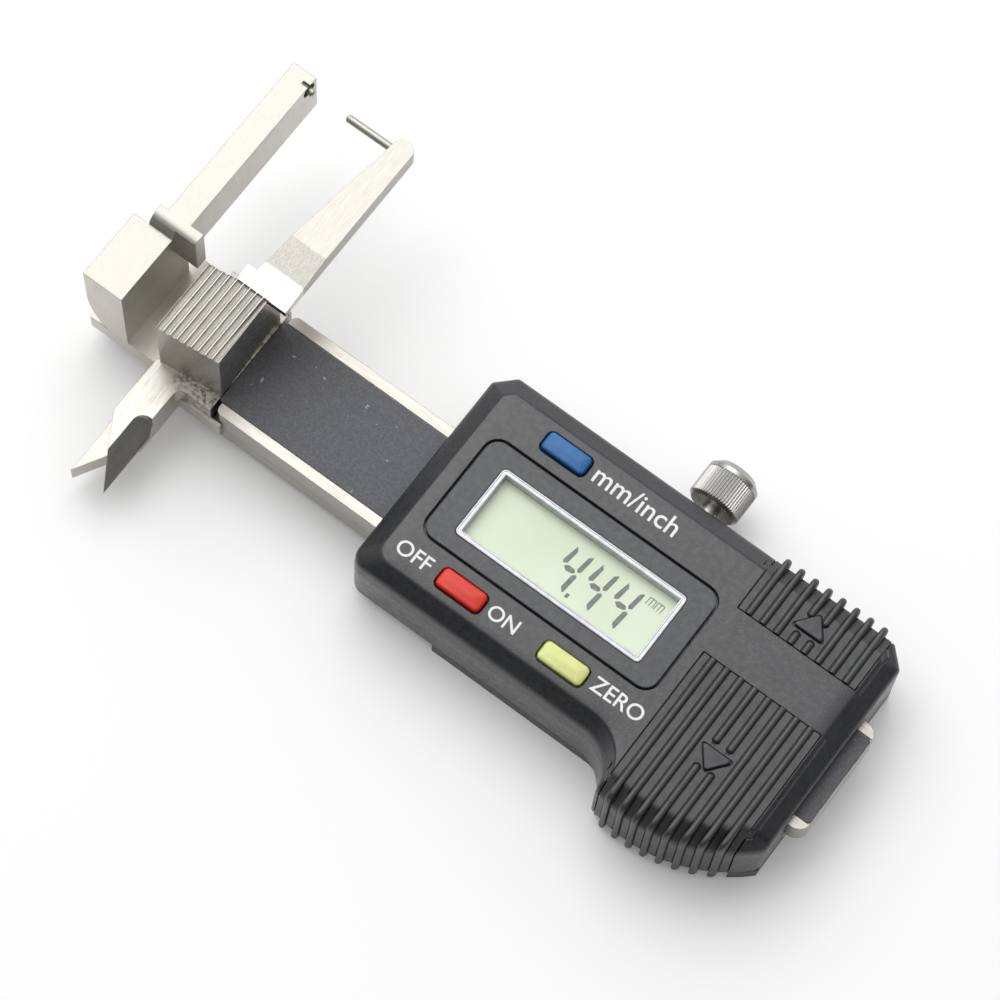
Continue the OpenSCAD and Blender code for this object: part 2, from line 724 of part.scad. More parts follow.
module fixed_thumb_block() color(polished) {
    far = block_1_near + block_1_d;
    root_far = far + arm_root;
    arm_left = arm_1_side - arm_1_w;
    arm_bottom = arm_top - arm_1_t;
    difference() {
        union() {
            bar([block_1_left, block_1_face], [block_1_near, far], [plate_top, block_top]);
            bar([arm_left - 1, block_1_face], [far - 1, root_far], [plate_top, arm_top]);
            bar([arm_left, arm_1_side + root_step], [root_near, root_far], [arm_bottom, arm_top]);
            bar([arm_left, arm_1_side], [root_far - 1, arm_reach], [arm_bottom, arm_top]);
        }
        round_end(far);
        // The outer side is rounded towards its foot
        difference() {
            bar([block_1_left - 1, block_1_left + block_1_r], [block_1_near - 1, root_far + 1],
                [plate_top - 1, plate_top + 2 * block_1_r]);
            translate([block_1_left + block_1_r, 0, plate_top + 2 * block_1_r]) rotate([90, 0, 0])
                scale([1, 2, 1]) cylinder(h = far_away, r = block_1_r, center = true, $fn = 60);
        }
        // The notch and the hole of the pin
        rod_x(arm_1_side - 0.9, arm_1_side + 1, pin_y(), pin_z(), 2 * pin_d);
        rod_x(arm_1_side - pin_seat, arm_1_side + 1, pin_y(), pin_z(), pin_d + 2 * seat_fit);
    }
}

function pin_y() = arm_reach - pin_inset;
function pin_z() = arm_top - 0.95;

// A pin with a rounded tip, running along the beam from x0 to x1
module pin(x0, x1, tip_left) {
    cone = (pin_d - pin_tip_d) / 2;
    rod_x(tip_left ? x0 + cone : x0, tip_left ? x1 : x1 - cone, pin_y(), pin_z(), pin_d);
    translate([tip_left ? x0 + cone : x1 - cone, pin_y(), pin_z()]) rotate([0, tip_left ? -90 : 90, 0])
        cylinder(h = cone, d1 = pin_d, d2 = pin_tip_d);
}

module fixed_pin() color(polished) pin(arm_1_side - pin_seat, pin_zero, false);

module moving_pin() color(polished) pin(pin_zero + reading, arm_2_left() + pin_seat, true);

module plate_rivets() color(steel) plate_rivet_holes(rivet_d - 2 * seat_fit);

module beam() color(polished) {
    difference() {
        union() {
            slab(beam_bottom, beam_top) {
                translate([beam_front + front_r, -beam_half])
                    square([beam_end - tail_r - beam_front - front_r, beam_w]);
                translate([beam_front, -beam_half + front_r]) square([2 * front_r, beam_w - 2 * front_r]);
                translate([beam_end - tail_r - 1, -beam_half + tail_r]) square([tail_r + 1, beam_w - 2 * tail_r]);
                for (y = [-1, 1]) {
                    translate([beam_front + front_r, y * (beam_half - front_r)]) circle(front_r);
                    translate([beam_end - tail_r, y * (beam_half - tail_r)]) circle(tail_r);
                }
            }
            bar([tongue_front, beam_front + 1], [-tongue_w / 2, tongue_w / 2], [beam_bottom, foot_bottom]);
        }
        bar([beam_front - 1, beam_end - 0.1], [-beam_half + rail_w, beam_half - rail_w],
            [beam_top - label_recess, beam_top + 1]);
        translate([stop_x, 0, 0]) cylinder(h = beam_bottom + 1.6, d = stop_d);
        foot_rivet_holes(rivet_d);
    }
}

module scale_label() color(slate)
    bar([beam_front + 0.15, beam_end - 0.15], [-beam_half + rail_w + 0.03, beam_half - rail_w - 0.03],
        [beam_top - label_recess, beam_top - label_recess + label_t]);

module stop_pin() color(steel)
    translate([stop_x, 0, floor_t + 0.3]) cylinder(h = beam_bottom + 1.55 - floor_t - 0.3, d = stop_d - 2 * seat_fit);

module foot_rivet_holes(d) {
    for (y = [-foot_rivet_y, foot_rivet_y]) translate([(tongue_front + foot_end) / 2, y, beam_bottom])
        cylinder(h = beam_top - beam_bottom, d = d);
}

module foot_rivets() color(steel) foot_rivet_holes(rivet_d - 2 * seat_fit);

module moving_blade_plate() color(polished) {
    leg_left = leg_2_right - leg_w;
    foot_left = block_1_face + reading + 0.1;
    r = foot_fillet;
    tip = -blade_reach;
    difference() {
        slab(foot_bottom, beam_top) {
            blade_plan(blade_2_edge, leg_left, -foot_reach + 1, blade_step);
            translate([leg_left, -foot_reach]) square([foot_end - leg_left, foot_reach + block_1_near - 0.1]);
            translate([foot_left, -foot_reach]) square([foot_end - foot_left, foot_reach + beam_half]);
            difference() {
                translate([leg_2_right - eps, -foot_reach - r]) square(r + eps);
                translate([leg_2_right + r, -foot_reach - r]) circle(r);
            }
        }
        // The bevel over the front blade's measuring edge, with its round run-out
        intersection() {
            translate([blade_2_edge, tip - 1, foot_bottom])
                rotate([0, -atan(bevel_w / (beam_top - foot_bottom)), 0])
                cube([10, blade_len + 3, 10]);
            union() {
                bar([blade_2_edge - 8, blade_2_edge + 8], [tip - 1, tip + blade_len - bevel_w / 2], [0, far_away]);
                translate([blade_2_edge - bevel_w / 2 + 0.3, tip + blade_len - bevel_w / 2, 0])
                    cylinder(h = far_away, r = bevel_w / 2 + 0.3);
            }
        }
        foot_rivet_holes(rivet_d);
    }
}

function arm_2_left() = arm_2_right - arm_2_w - (arm_2_root_w - arm_2_w) * pin_inset / arm_reach;

module moving_thumb_block() color(polished) {
    left = block_2_left;
    right = block_2_left + block_2_w;
    near = block_2_near;
    far = block_2_far;
    skew = tan(block_2_skew);
    groove = sqrt(2) * ridge_h;
    root_left = arm_2_right - arm_2_root_w - 1;
    tip_r = arm_2_w / 2 - 0.2;
    difference() {
        union() {
            slab(beam_top, block_top) polygon([[left, near], [right, near + block_2_w * skew],
                [right - 0.3, step_far + 0.2], [left + ridge_step, step_far + 0.2], [left, far]]);
            // The root, and the thin arm on it with a rounded end
            bar([root_left, right - 0.3], [far, step_far + arm_root], [beam_top, arm_top]);
            slab(arm_top - arm_2_t, arm_top) {
                polygon([[arm_2_right - arm_2_root_w, step_far + 0.15], [arm_2_right, step_far + 0.15],
                    [arm_2_right, arm_reach - tip_r], [arm_2_right - tip_r, arm_reach],
                    [arm_2_right - arm_2_w + tip_r, arm_reach], [arm_2_right - arm_2_w, arm_reach - tip_r]]);
                for (x = [arm_2_right - tip_r, arm_2_right - arm_2_w + tip_r])
                    translate([x, arm_reach - tip_r]) circle(tip_r);
            }
        }
        // The arm rises gently from the top of the block
        bar([left - 1, arm_2_right + 1], [far - 1, step_far + 0.2], [block_top, arm_top + 1]);
        translate([0, step_far + 0.2, block_top]) rotate([atan(arm_rise / arm_ramp), 0, 0])
            bar([left - 1, arm_2_right + 1], [-eps, 2 * arm_ramp], [0, 3 * arm_rise]);
        // The grooves between the grip ridges
        for (x = [left + ridge_pitch / 2:ridge_pitch:right]) translate([x, near - 1, block_top])
            rotate([0, 45, 0]) translate([-groove / 2, 0, -groove / 2])
            cube([groove, step_far + 1.2 - near, groove]);
        rod_x(arm_2_left() - 2, arm_2_left() + pin_seat, pin_y(), pin_z(), pin_d + 2 * seat_fit);
    }
}

// Knurled knob on a plain shank that reaches the gib
module lock_screw() color(steel) {
    chamfer = 0.75;
    r = knob_d / 2;
    ring = 0.9;
    groove = 2 * r * sin(180 / knurls) * 0.63;
    difference() {
        translate([lock_x, knob_start, lock_z]) rotate([-90, 0, 0]) rotate_extrude($fn = 96)
            polygon([[0, 0], [r - 0.4, 0], [r, 0.4], [r, knob_len - chamfer], [r - chamfer, knob_len],
                [0, knob_len]]);
        for (a = [0:360 / knurls:359]) translate([lock_x, knob_start, lock_z]) rotate([0, a, 0])
            translate([r, -1, 0]) rotate([0, 45, 0]) translate([-groove / 2, 0, -groove / 2])
            cube([groove, knob_len - ring + 1 - chamfer / 2, groove]);
    }
    rod_y(gib_outer + seat_fit, knob_start + 1, lock_x, lock_z, shank_d);
}

module lock_bush() color(brass) {
    difference() {
        rod_y(frame_half + 0.05, case_far + 0.25, lock_x, lock_z, shank_d + 2 - 2 * seat_fit);
        rod_y(frame_half - 1, case_far + 1, lock_x, lock_z, shank_d + 2 * screw_fit);
    }
}

module circuit_board() color(board_green) {
    difference() {
        bar([board_front, board_front + board_len], [-board_near, board_far], [frame_top, board_top]);
        for (x = screw_x, y = [-screw_y, screw_y])
            translate([x, y, 0]) cylinder(h = far_away, d = boss_d + 0.4);
    }
    // The sensor plate that looks down on the scale
    bar([board_front + 2.5, board_front + board_len - 2.5], [-beam_half + 2.5, beam_half - 2.5],
        [beam_top + slide_fit + 0.1, frame_top + eps]);
}

module button_switches() color(steel) {
    for (i = [0:2]) translate([button_x[i], button_y[i], board_top]) {
        cylinder(h = switch_h / 2, d = 2.2);
        cylinder(h = switch_h, d = 1.4);
    }
}

module lcd_connectors() color([0.85, 0.45, 0.55]) {
    for (y = [-1, 1]) translate([bezel_mid, bezel_y + y * (bezel_w / 2 - 0.5), 0])
        slab(board_top, lcd_bottom) square([bezel_len - 1.6, 1.1], center = true);
}

module lcd_glass() color([0.87, 0.91, 0.80])
    translate([bezel_mid, bezel_y, 0]) slab(lcd_bottom, lcd_top)
    square([bezel_len + 2 * lcd_over, bezel_w + 2 * lcd_over], center = true);

module lcd_bezel() color([0.93, 0.93, 0.95]) {
    translate([bezel_mid, bezel_y, 0]) slab(lcd_top + seat_fit, bezel_top) difference() {
        rounded(bezel_len, bezel_w, 0.6);
        rounded(bezel_len - 2 * bezel_rim, bezel_w - 2 * bezel_rim, 0.3);
    }
}

module display_window() color([0.9, 0.95, 0.95])
    translate([bezel_mid, bezel_y, 0]) slab(lcd_top + 0.1, lcd_top + 0.1 + window_t)
    rounded(bezel_len - 2 * bezel_rim - 2 * seat_fit, bezel_w - 2 * bezel_rim - 2 * seat_fit, 0.3);

module display_panel() color([0.31, 0.32, 0.34]) {
    difference() {
        translate([panel_mid, panel_y, 0]) slab(case_top - panel_t, case_top) rounded(panel_len, panel_w, panel_r);
        translate([bezel_mid, bezel_y, 0]) slab(0, far_away) rounded(bezel_len + 2 * seat_fit,
            bezel_w + 2 * seat_fit, 0.6);
    }
}

// A cap with rounded corners that stands on a flange under the face of the case
module button(i, colour) color(colour) translate([button_x[i], button_y[i], 0]) {
    slab(flange_top - flange_t, case_top + button_proud) rounded(button_len, button_w, button_r);
    slab(flange_top - flange_t, flange_top)
        rounded(button_len + 2 * flange, button_w + 2 * flange, button_r + flange);
}

module mm_inch_button() button(0, [0.16, 0.42, 0.66]);
module power_button() button(1, [0.86, 0.26, 0.21]);
module zero_button() button(2, [0.84, 0.88, 0.45]);

module battery_tray() color([0.75, 0.75, 0.72]) {
    difference() {
        translate([cell_x, cell_y, frame_top]) cylinder(h = cell_bottom - frame_top + 0.7 * cell_t,
            d = cell_d + 2 * tray_rim, $fn = 96);
        translate([cell_x, cell_y, 0]) cylinder(h = far_away, d = cell_d + 0.2, $fn = 96);
        // Room for the standing contact
        bar([cell_x - contact_w / 2 - 0.2, cell_x + contact_w / 2 + 0.2],
            [cell_y - cell_d, cell_y - cell_d / 2 + 1], [0, far_away]);
    }
}

module coin_cell() color(polished) translate([cell_x, cell_y, cell_bottom]) {
    cylinder(h = 0.3, d = cell_d - 1.4);
    translate([0, 0, 0.3]) cylinder(h = cell_t - 0.3, d = cell_d);
}

module contact_minus() color(brass) translate([cell_x, cell_y, frame_top])
    cylinder(h = cell_bottom - frame_top, d = cell_d / 2);

module contact_plus() color(brass) {
    y = cell_y - cell_d / 2 - 0.05;
    bar([cell_x - contact_w / 2, cell_x + contact_w / 2], [y - contact_t, y],
        [frame_top, cell_bottom + 0.8 * cell_t]);
}

// Places of the ribs along a cover, and of its arrow
function rib_x(i) = cover_mid + (i - 3.5) * rib_pitch;

module arrow_plan(y, dir) polygon([[cover_mid - arrow_w / 2, y], [cover_mid + arrow_w / 2, y],
    [cover_mid, y + dir * arrow_len]]);

// A round rib between two points of one plane across the beam, each given as [y, z]
module rib_rod(x, a, b) {
    length = norm(b - a);
    translate([x, a[0], a[1]]) rotate([acos((b[1] - a[1]) / length) * (b[0] < a[0] ? 1 : -1), 0, 0])
        cylinder(h = length, d = rib_d, $fn = 24);
    translate([x, b[0], b[1]]) sphere(d = rib_d + 0.01, $fn = 24);
}

// Plan of a rib of the battery cover, whole or interrupted round the arrow with rounded ends
module rib_plan(x, cut) {
    r = rib_d / 2;
    near = -bulge_r;
    if (cut) {
        translate([x - r, -arrow_near + 0.6 + r]) square([rib_d, cover_edge + arrow_near - 0.6 - r]);
        translate([x, -arrow_near + 0.6 + r]) circle(r);
        translate([x - r, near]) square([rib_d, -arrow_near - 2.3 - r - near]);
        translate([x, -arrow_near - 2.3 - r]) circle(r);
    } else translate([x - r, near]) square([rib_d, cover_edge - near]);
}

// Form that holds the ribs and teeth of the battery cover: a round wall with a soft upper edge
module teeth_form() translate([bulge_x, bulge_y, 0]) rotate_extrude($fn = 180) {
    foot = bulge_r + 0.4;
    top = case_top + rib_h;
    polygon([[0, 0.45], [foot, 0.45], [foot - bulge_draft, top - 1.2], [foot - bulge_draft - 0.3, top - 0.4],
        [foot - bulge_draft - 1.1, top], [0, top]]);
}

module battery_cover() color(charcoal) {
    r = rib_d / 2;
    difference() {
        union() {
            intersection() {
                bulge_body(0, case_top);
                union() {
                    bar([cover_front, cover_rear], [-far_away, cover_edge], [cover_under, case_top]);
                    bar([cover_front, cover_rear], [-far_away, -case_near + wall - cover_fit],
                        [parting_h + 0.1, case_top]);
                }
            }
            intersection() {
                teeth_form();
                for (i = [0:7]) {
                    slab(case_top - 0.3, far_away) rib_plan(rib_x(i), i == 3 || i == 4);
                    bar([rib_x(i) - r, rib_x(i) + r], [-far_away, -case_near + wall - cover_fit], [0, far_away]);
                }
            }
        }
        bulge_body(wall, cover_under);
        translate([bulge_x, bulge_y, 0]) cylinder(h = parting_h + 0.1, r = bulge_at(parting_h) - r, $fn = 180);
    }
    slab(case_top - 0.1, case_top + arrow_h) arrow_plan(-arrow_near, -1);
    intersection() {
        bulge_body(0, case_top);
        for (x = [cover_front, cover_rear]) bar([x - cover_tongue, x + cover_tongue],
            [cover_edge - 0.6 - tongue_battery, cover_edge - 0.6], [cover_under, cover_under + tongue_h]);
    }
}

module data_port() color([0.15, 0.15, 0.16]) {
    near = frame_half + 0.3;
    difference() {
        bar([cover_mid - port_len / 2, cover_mid + port_len / 2],
            [near, case_far - wall - bevel_case_w - 0.2], [frame_top, cover_under - 0.6]);
        for (i = [-1.5:1:1.5]) translate([cover_mid + i * port_pitch, near + port_well, 0])
            slab(frame_top + 0.3, far_away) square(port_well, center = true);
    }
}

// Upright web between a rib of the data port cover and the slope under it, with a round upper edge
module rib_web(x, far) translate([x - rib_d / 2, 0, 0]) rotate([90, 0, 90]) linear_extrude(rib_d) {
    inner = case_far - bevel_case_w - 0.4;
    translate([inner, shoulder + 0.1]) square([far - 0.6 - inner, rib_z - shoulder - 0.1]);
    translate([inner, shoulder + 0.1]) square([far - inner, rib_z - 0.6 - shoulder - 0.1]);
    translate([far - 0.6, rib_z - 0.6]) circle(0.6);
}

module data_port_cover() color(charcoal) {
    far = case_far;
    outer = far + 0.15;
    low = shoulder + 0.1 + rib_d / 2;
    difference() {
        union() {
            bar([cover_front, cover_rear], [port_edge, far], [cover_under, case_top]);
            bar([cover_front, cover_rear], [far - lip_w, far], [case_top - lip_h, case_top]);
            for (x = [cover_front, cover_rear]) bar([x - cover_tongue, x + cover_tongue],
                [port_edge + 0.6, far], [cover_under, cover_under + tongue_h]);
        }
        translate([0, far - bevel_case_w, case_top]) rotate([-atan(bevel_case_h / bevel_case_w), 0, 0])
            bar([case_front, case_rear], [0, case_far], [0, case_far]);
    }
    for (i = [0:7]) {
        x = rib_x(i);
        bend = outer - 0.6;
        if (i == 3 || i == 4) {
            rib_rod(x, [port_edge, rib_z], [arrow_far - 0.9, rib_z]);
            rib_rod(x, [bend, rib_z], [arrow_far + 2.2, rib_z]);
        } else rib_rod(x, [port_edge, rib_z], [bend, rib_z]);
        rib_rod(x, [outer, low], [outer, rib_z - 0.6]);
        rib_rod(x, [outer, rib_z - 0.6], [bend, rib_z]);
        rib_web(x, outer);
    }
    slab(case_top - 0.1, case_top + arrow_h) arrow_plan(arrow_far, 1);
}

module case_screws() color(steel) {
    case_screw_holes(screw_d, head_h, face_bottom - 0.4);
    difference() {
        case_screw_holes(screw_head_d, 0.05, head_h);
        for (x = screw_x, y = [-screw_y, screw_y]) for (a = [0, 90]) translate([x, y, 0]) rotate([0, 0, a])
            bar([-1, 1], [-0.2, 0.2], [-1, 0.55]);
    }
}

module placed() translate([-mid_x, -mid_y, 0]) children();

placed() front_cover();
placed() rear_cover();
placed() guide_plate();
placed() slide_frame();
placed() gib_strip();
placed() gib_screws();
placed() fixed_jaw_plate();
placed() fixed_thumb_block();
placed() fixed_pin();
placed() plate_rivets();
placed() beam();
placed() scale_label();
placed() moving_blade_plate();
placed() moving_thumb_block();
placed() moving_pin();
placed() foot_rivets();
placed() stop_pin();
placed() lock_screw();
placed() lock_bush();
placed() circuit_board();
placed() button_switches();
placed() lcd_connectors();
placed() lcd_glass();
placed() lcd_bezel();
placed() display_window();
placed() display_panel();
placed() mm_inch_button();
placed() power_button();
placed() zero_button();
placed() battery_tray();
placed() coin_cell();
placed() contact_minus();
placed() contact_plus();
placed() battery_cover();
placed() data_port();
placed() data_port_cover();
placed() case_screws();
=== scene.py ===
"""Digital gem gauge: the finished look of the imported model, piece by piece, in the order it is put together."""
import math

import bpy
from mathutils import Matrix, Vector


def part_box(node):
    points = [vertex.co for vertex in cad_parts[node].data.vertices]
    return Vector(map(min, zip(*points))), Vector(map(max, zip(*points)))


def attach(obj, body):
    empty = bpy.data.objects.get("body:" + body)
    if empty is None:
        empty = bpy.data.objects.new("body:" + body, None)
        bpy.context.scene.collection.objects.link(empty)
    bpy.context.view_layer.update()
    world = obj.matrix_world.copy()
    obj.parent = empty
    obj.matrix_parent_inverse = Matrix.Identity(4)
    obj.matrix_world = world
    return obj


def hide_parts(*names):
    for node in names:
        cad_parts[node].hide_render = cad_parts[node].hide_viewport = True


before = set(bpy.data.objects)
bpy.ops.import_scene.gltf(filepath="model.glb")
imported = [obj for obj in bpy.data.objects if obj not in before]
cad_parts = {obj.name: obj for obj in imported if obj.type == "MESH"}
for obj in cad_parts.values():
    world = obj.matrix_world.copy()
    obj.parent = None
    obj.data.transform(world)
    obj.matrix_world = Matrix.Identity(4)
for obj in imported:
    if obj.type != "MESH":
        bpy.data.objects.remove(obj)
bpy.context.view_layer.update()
bpy.ops.object.select_all(action="DESELECT")

# ---- Studio ----
# A white table under one wide soft lamp, upper left of the gauge, in a room that gets darker
# towards the near side. The camera looks down at the gauge from the near right.
table_shade, table_lift = 0.88, 0.13


def sum_of(tree, operation, first, second):
    """The result of one sum on an output and another output or a number."""
    step = tree.nodes.new("ShaderNodeMath")
    step.operation = operation
    tree.links.new(first, step.inputs[0])
    if isinstance(second, float):
        step.inputs[1].default_value = second
    else:
        tree.links.new(second, step.inputs[1])
    return step.outputs[0]


bpy.ops.mesh.primitive_plane_add(size=3)
table_top = bpy.context.object
table_top.name = "table_top"
white_table = bpy.data.materials.new("white_table")
white_table.use_nodes = True
tree = white_table.node_tree
tree.nodes.clear()
matt = tree.nodes.new("ShaderNodeBsdfDiffuse")
matt.inputs["Color"].default_value = (table_shade, table_shade, table_shade, 1)
# the lift makes the table look white, and lights nothing
glow = tree.nodes.new("ShaderNodeEmission")
rays = tree.nodes.new("ShaderNodeLightPath").outputs
seen = sum_of(tree, "MAXIMUM", rays["Is Camera Ray"], rays["Is Glossy Ray"])
seen = sum_of(tree, "MAXIMUM", seen, rays["Is Transmission Ray"])
tree.links.new(sum_of(tree, "MULTIPLY", seen, table_lift), glow.inputs["Strength"])
both = tree.nodes.new("ShaderNodeAddShader")
tree.links.new(matt.outputs[0], both.inputs[0])
tree.links.new(glow.outputs[0], both.inputs[1])
tree.links.new(both.outputs[0], tree.nodes.new("ShaderNodeOutputMaterial").inputs["Surface"])
table_top.data.materials.append(white_table)

room = bpy.data.worlds.new("room")
bpy.context.scene.world = room
room.use_nodes = True
links, nodes = room.node_tree.links, room.node_tree.nodes
towards = nodes.new("ShaderNodeVectorMath")
towards.operation = "DOT_PRODUCT"
bright_side = (-0.30, 0.45, 0.84)
towards.inputs[1].default_value = bright_side
links.new(nodes.new("ShaderNodeTexCoord").outputs["Generated"], towards.inputs[0])
half = nodes.new("ShaderNodeMapRange")
half.inputs["From Min"].default_value = -1
links.new(towards.outputs["Value"], half.inputs["Value"])
walls = nodes.new("ShaderNodeValToRGB")
walls.color_ramp.elements[0].color = (0.04, 0.04, 0.04, 1)
walls.color_ramp.elements[1].color = (1.0, 1.0, 1.0, 1)
for place, level in ((0.26, 0.02), (0.46, 0.035), (0.62, 0.28), (0.80, 0.62)):
    stop = walls.color_ramp.elements.new(place)
    stop.color = (level, level, level, 1)
links.new(half.outputs["Result"], walls.inputs["Fac"])
links.new(walls.outputs["Color"], nodes["Background"].inputs["Color"])

lamp_at, lamp_watts = Vector((-0.30, 0.20, 0.62)), 3.1
bpy.ops.object.light_add(type="AREA", location=lamp_at)
soft_lamp = bpy.context.object
soft_lamp.name = "soft_lamp"
soft_lamp.rotation_euler = lamp_at.to_track_quat("Z", "Y").to_euler()
soft_lamp.data.shape = "RECTANGLE"
soft_lamp.data.size, soft_lamp.data.size_y = 0.75, 0.60
soft_lamp.data.energy = lamp_watts

# a long lens, placed where the gauge's edges and corners line up with the photograph's
bpy.ops.object.camera_add()
camera = bpy.context.object
camera.name = "camera"
camera.matrix_world = Matrix(((0.80184752, -0.57242423, 0.17137988, 0.071438),
                              (0.59651747, 0.75017939, -0.28530297, -0.117094),
                              (0.03474868, 0.33100057, 0.94299054, 0.396718),
                              (0, 0, 0, 1)))
camera.data.sensor_width = 36
camera.data.lens = 139.65
camera.data.clip_start = 0.01
bpy.context.scene.camera = camera
bpy.context.scene.view_settings.view_transform = "Standard"

# ---- Case ----
# The upper cover is a shell moulded in charcoal plastic with a fine spark-eroded grain. Its face
# rises to soft shoulders; the near side swells into a round bulge that the battery cover closes.
shift = Vector((-0.041925, -0.002825, 0))
# all in millimetres from the zero line and the middle of the beam
case_front, case_rear, case_far, case_near = 34.3, 87.6, 15.25, -12.35
case_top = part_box("display_panel")[1].z * 1000
bulge_x, bulge_y, bulge_r = 74.0, 1.9, 19.1
flare_x, flare_r = 64.9, 4.85
corner_cut, least_cut, corner_r = 2.1, 0.35, 0.5


def at(x, y, z):
    """A place in the shared frame, given in the gauge's own millimetres."""
    return Vector((x, y, z)) / 1000 + shift


def rounded(corners, steps=6):
    """Points of an outline whose corners, each given with a radius, are rounded."""
    points = []
    for before, corner, after in zip(corners[-1:] + corners[:-1], corners, corners[1:] + corners[:1]):
        here, radius = Vector(corner[:2]), corner[2]
        if not radius:
            points.append(here)
            continue
        back = (Vector(before[:2]) - here).normalized()
        on = (Vector(after[:2]) - here).normalized()
        half = back.angle(on) / 2
        middle = here + (back + on).normalized() * radius / math.sin(half)
        start = here + back * radius / math.tan(half) - middle
        end = here + on * radius / math.tan(half) - middle
        points += [middle + start.slerp(end, i / steps) * radius for i in range(steps + 1)]
    return points


def along(profile, z):
    """How far a side is drawn in at a height, on its profile of (draw-in, height)."""
    for (in_0, z_0), (in_1, z_1) in zip(profile, profile[1:]):
        if z <= z_1:
            return in_0 + (in_1 - in_0) * max(0, z - z_0) / max(1e-6, z_1 - z_0)
    return profile[-1][0]


# profiles of the sides: how far each is drawn in, its height, and the radius of that edge
side_slope = rounded([(0, 0, 0), (0, 9.5, 0.9), (2.3, case_top, 0.7), (4, case_top, 0)], 8)
near_slope = rounded([(0, 0, 0), (0, 7.8, 2.5), (0.25, 9.5, 1.2), (1.95, case_top, 0.7), (4, case_top, 0)], 8)
bulge_side = rounded([(0, 0, 0), (0.2, 8.8, 1.0), (2.3, case_top, 0.7), (4, case_top, 0)], 8)


def case_outline(z, inwards=0.0):
    """Plan of the case at a height, all round moved inwards."""
    side, near, bulge = (along(slope, z) + inwards for slope in (side_slope, near_slope, bulge_side))
    front, rear, far = case_front + side, case_rear - side, case_far - side
    edge, radius = case_near + near, bulge_r - bulge
    hollow = flare_r + near / 3
    to_bulge = Vector((bulge_x - flare_x, bulge_y - edge + hollow))
    reach = (hollow ** 2 - radius ** 2 + to_bulge.length_squared) / (2 * to_bulge.length)
    tip = math.atan2(to_bulge.y, to_bulge.x) - math.acos(reach / hollow)
    corners = [(front, edge, 1.8)]
    # the flare, a hollow curve from the near side out to the bulge
    for i in range(14):
        turn = math.pi / 2 + (tip - math.pi / 2) * i / 15
        corners.append((flare_x + hollow * math.cos(turn), edge - hollow + hollow * math.sin(turn), 0))
    meeting = Vector((flare_x + hollow * math.cos(tip), edge - hollow + hollow * math.sin(tip)))
    corners.append((meeting.x, meeting.y, 0.4))
    # the bulge, up to the rear side
    start = math.atan2(meeting.y - bulge_y, meeting.x - bulge_x) + 1.0 / radius
    end = -math.acos((rear - bulge_x) / radius)
    for i in range(25):
        turn = start + (end - 1.6 / radius - start) * i / 24
        corners.append((bulge_x + radius * math.cos(turn), bulge_y + radius * math.sin(turn), 0))
    corners.append((rear, bulge_y + radius * math.sin(end), 1.2))
    # the two cut corners on the far side
    cut_off = max(least_cut, corner_cut - 0.5 * side)
    corners += [(rear, far - cut_off, corner_r), (rear - cut_off, far, corner_r),
                (front + cut_off, far, corner_r), (front, far - cut_off, corner_r)]
    return [at(point.x, point.y, z) for point in rounded(corners)]


def tidy(piece, angle=30):
    """Outward faces and smooth shading up to an angle; the piece is left unselected."""
    bpy.context.view_layer.objects.active = piece
    piece.select_set(True)
    bpy.ops.object.mode_set(mode="EDIT")
    bpy.ops.mesh.select_all(action="SELECT")
    bpy.ops.mesh.remove_doubles(threshold=1e-7)
    bpy.ops.mesh.normals_make_consistent(inside=False)
    bpy.ops.object.mode_set(mode="OBJECT")
    bpy.ops.object.shade_smooth_by_angle(angle=math.radians(angle))
    piece.select_set(False)


def built_up(name, outlines):
    """A closed piece drawn up through outlines, each with as many points as the first."""
    bpy.ops.mesh.primitive_circle_add(vertices=len(outlines[0]), radius=0.01, fill_type="NGON")
    piece = bpy.context.object
    piece.name = name
    for point, place in zip(piece.data.vertices, outlines[0]):
        point.co = place
    for outline in outlines[1:]:
        bpy.ops.object.mode_set(mode="EDIT")
        bpy.ops.mesh.extrude_region()
        bpy.ops.object.mode_set(mode="OBJECT")
        raised = [point for point in piece.data.vertices if point.select]
        for point, place in zip(raised, outline):
            point.co = place
    tidy(piece)
    return piece


def block(x, y, z):
    """A block between pairs of places in millimetres, to cut an opening with or to make a tongue."""
    low, high = at(x[0], y[0], z[0]), at(x[1], y[1], z[1])
    bpy.ops.mesh.primitive_cube_add(size=1, location=(low + high) / 2)
    bpy.context.object.scale = high - low
    bpy.ops.object.transform_apply(location=True, rotation=True, scale=True)
    bpy.context.object.select_set(False)
    return bpy.context.object


def cut(piece, *tools, way="DIFFERENCE"):
    """Cut a piece with each tool in turn, and throw the tools away."""
    bpy.context.view_layer.objects.active = piece
    for tool in tools:
        step = piece.modifiers.new("cut", "BOOLEAN")
        step.operation, step.solver, step.object = way, "EXACT", tool
        bpy.ops.object.modifier_apply(modifier=step.name)
        bpy.data.objects.remove(tool)


def plan(x, y, length, width, radius, z, inwards=0.0):
    """A rounded rectangle about a place, in millimetres, at a height."""
    half_x, half_y, radius = length / 2 - inwards, width / 2 - inwards, max(0.05, radius - inwards)
    return [at(x + p.x, y + p.y, z) for p in rounded([(-half_x, -half_y, radius), (half_x, -half_y, radius),
                                                      (half_x, half_y, radius), (-half_x, half_y, radius)])]


def middle_and_size(node):
    """Middle and size in plan of a CAD node, in millimetres."""
    low, high = ((corner - shift) * 1000 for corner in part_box(node))
    return (low.x + high.x) / 2, (low.y + high.y) / 2, high.x - low.x, high.y - low.y


def paint(red, green, blue):
    """A colour given as it looks on a screen, 0 to 255."""
    return tuple(((c / 255 + 0.055) / 1.055) ** 2.4 if c > 10 else c / 255 / 12.92
                 for c in (red, green, blue)) + (1,)


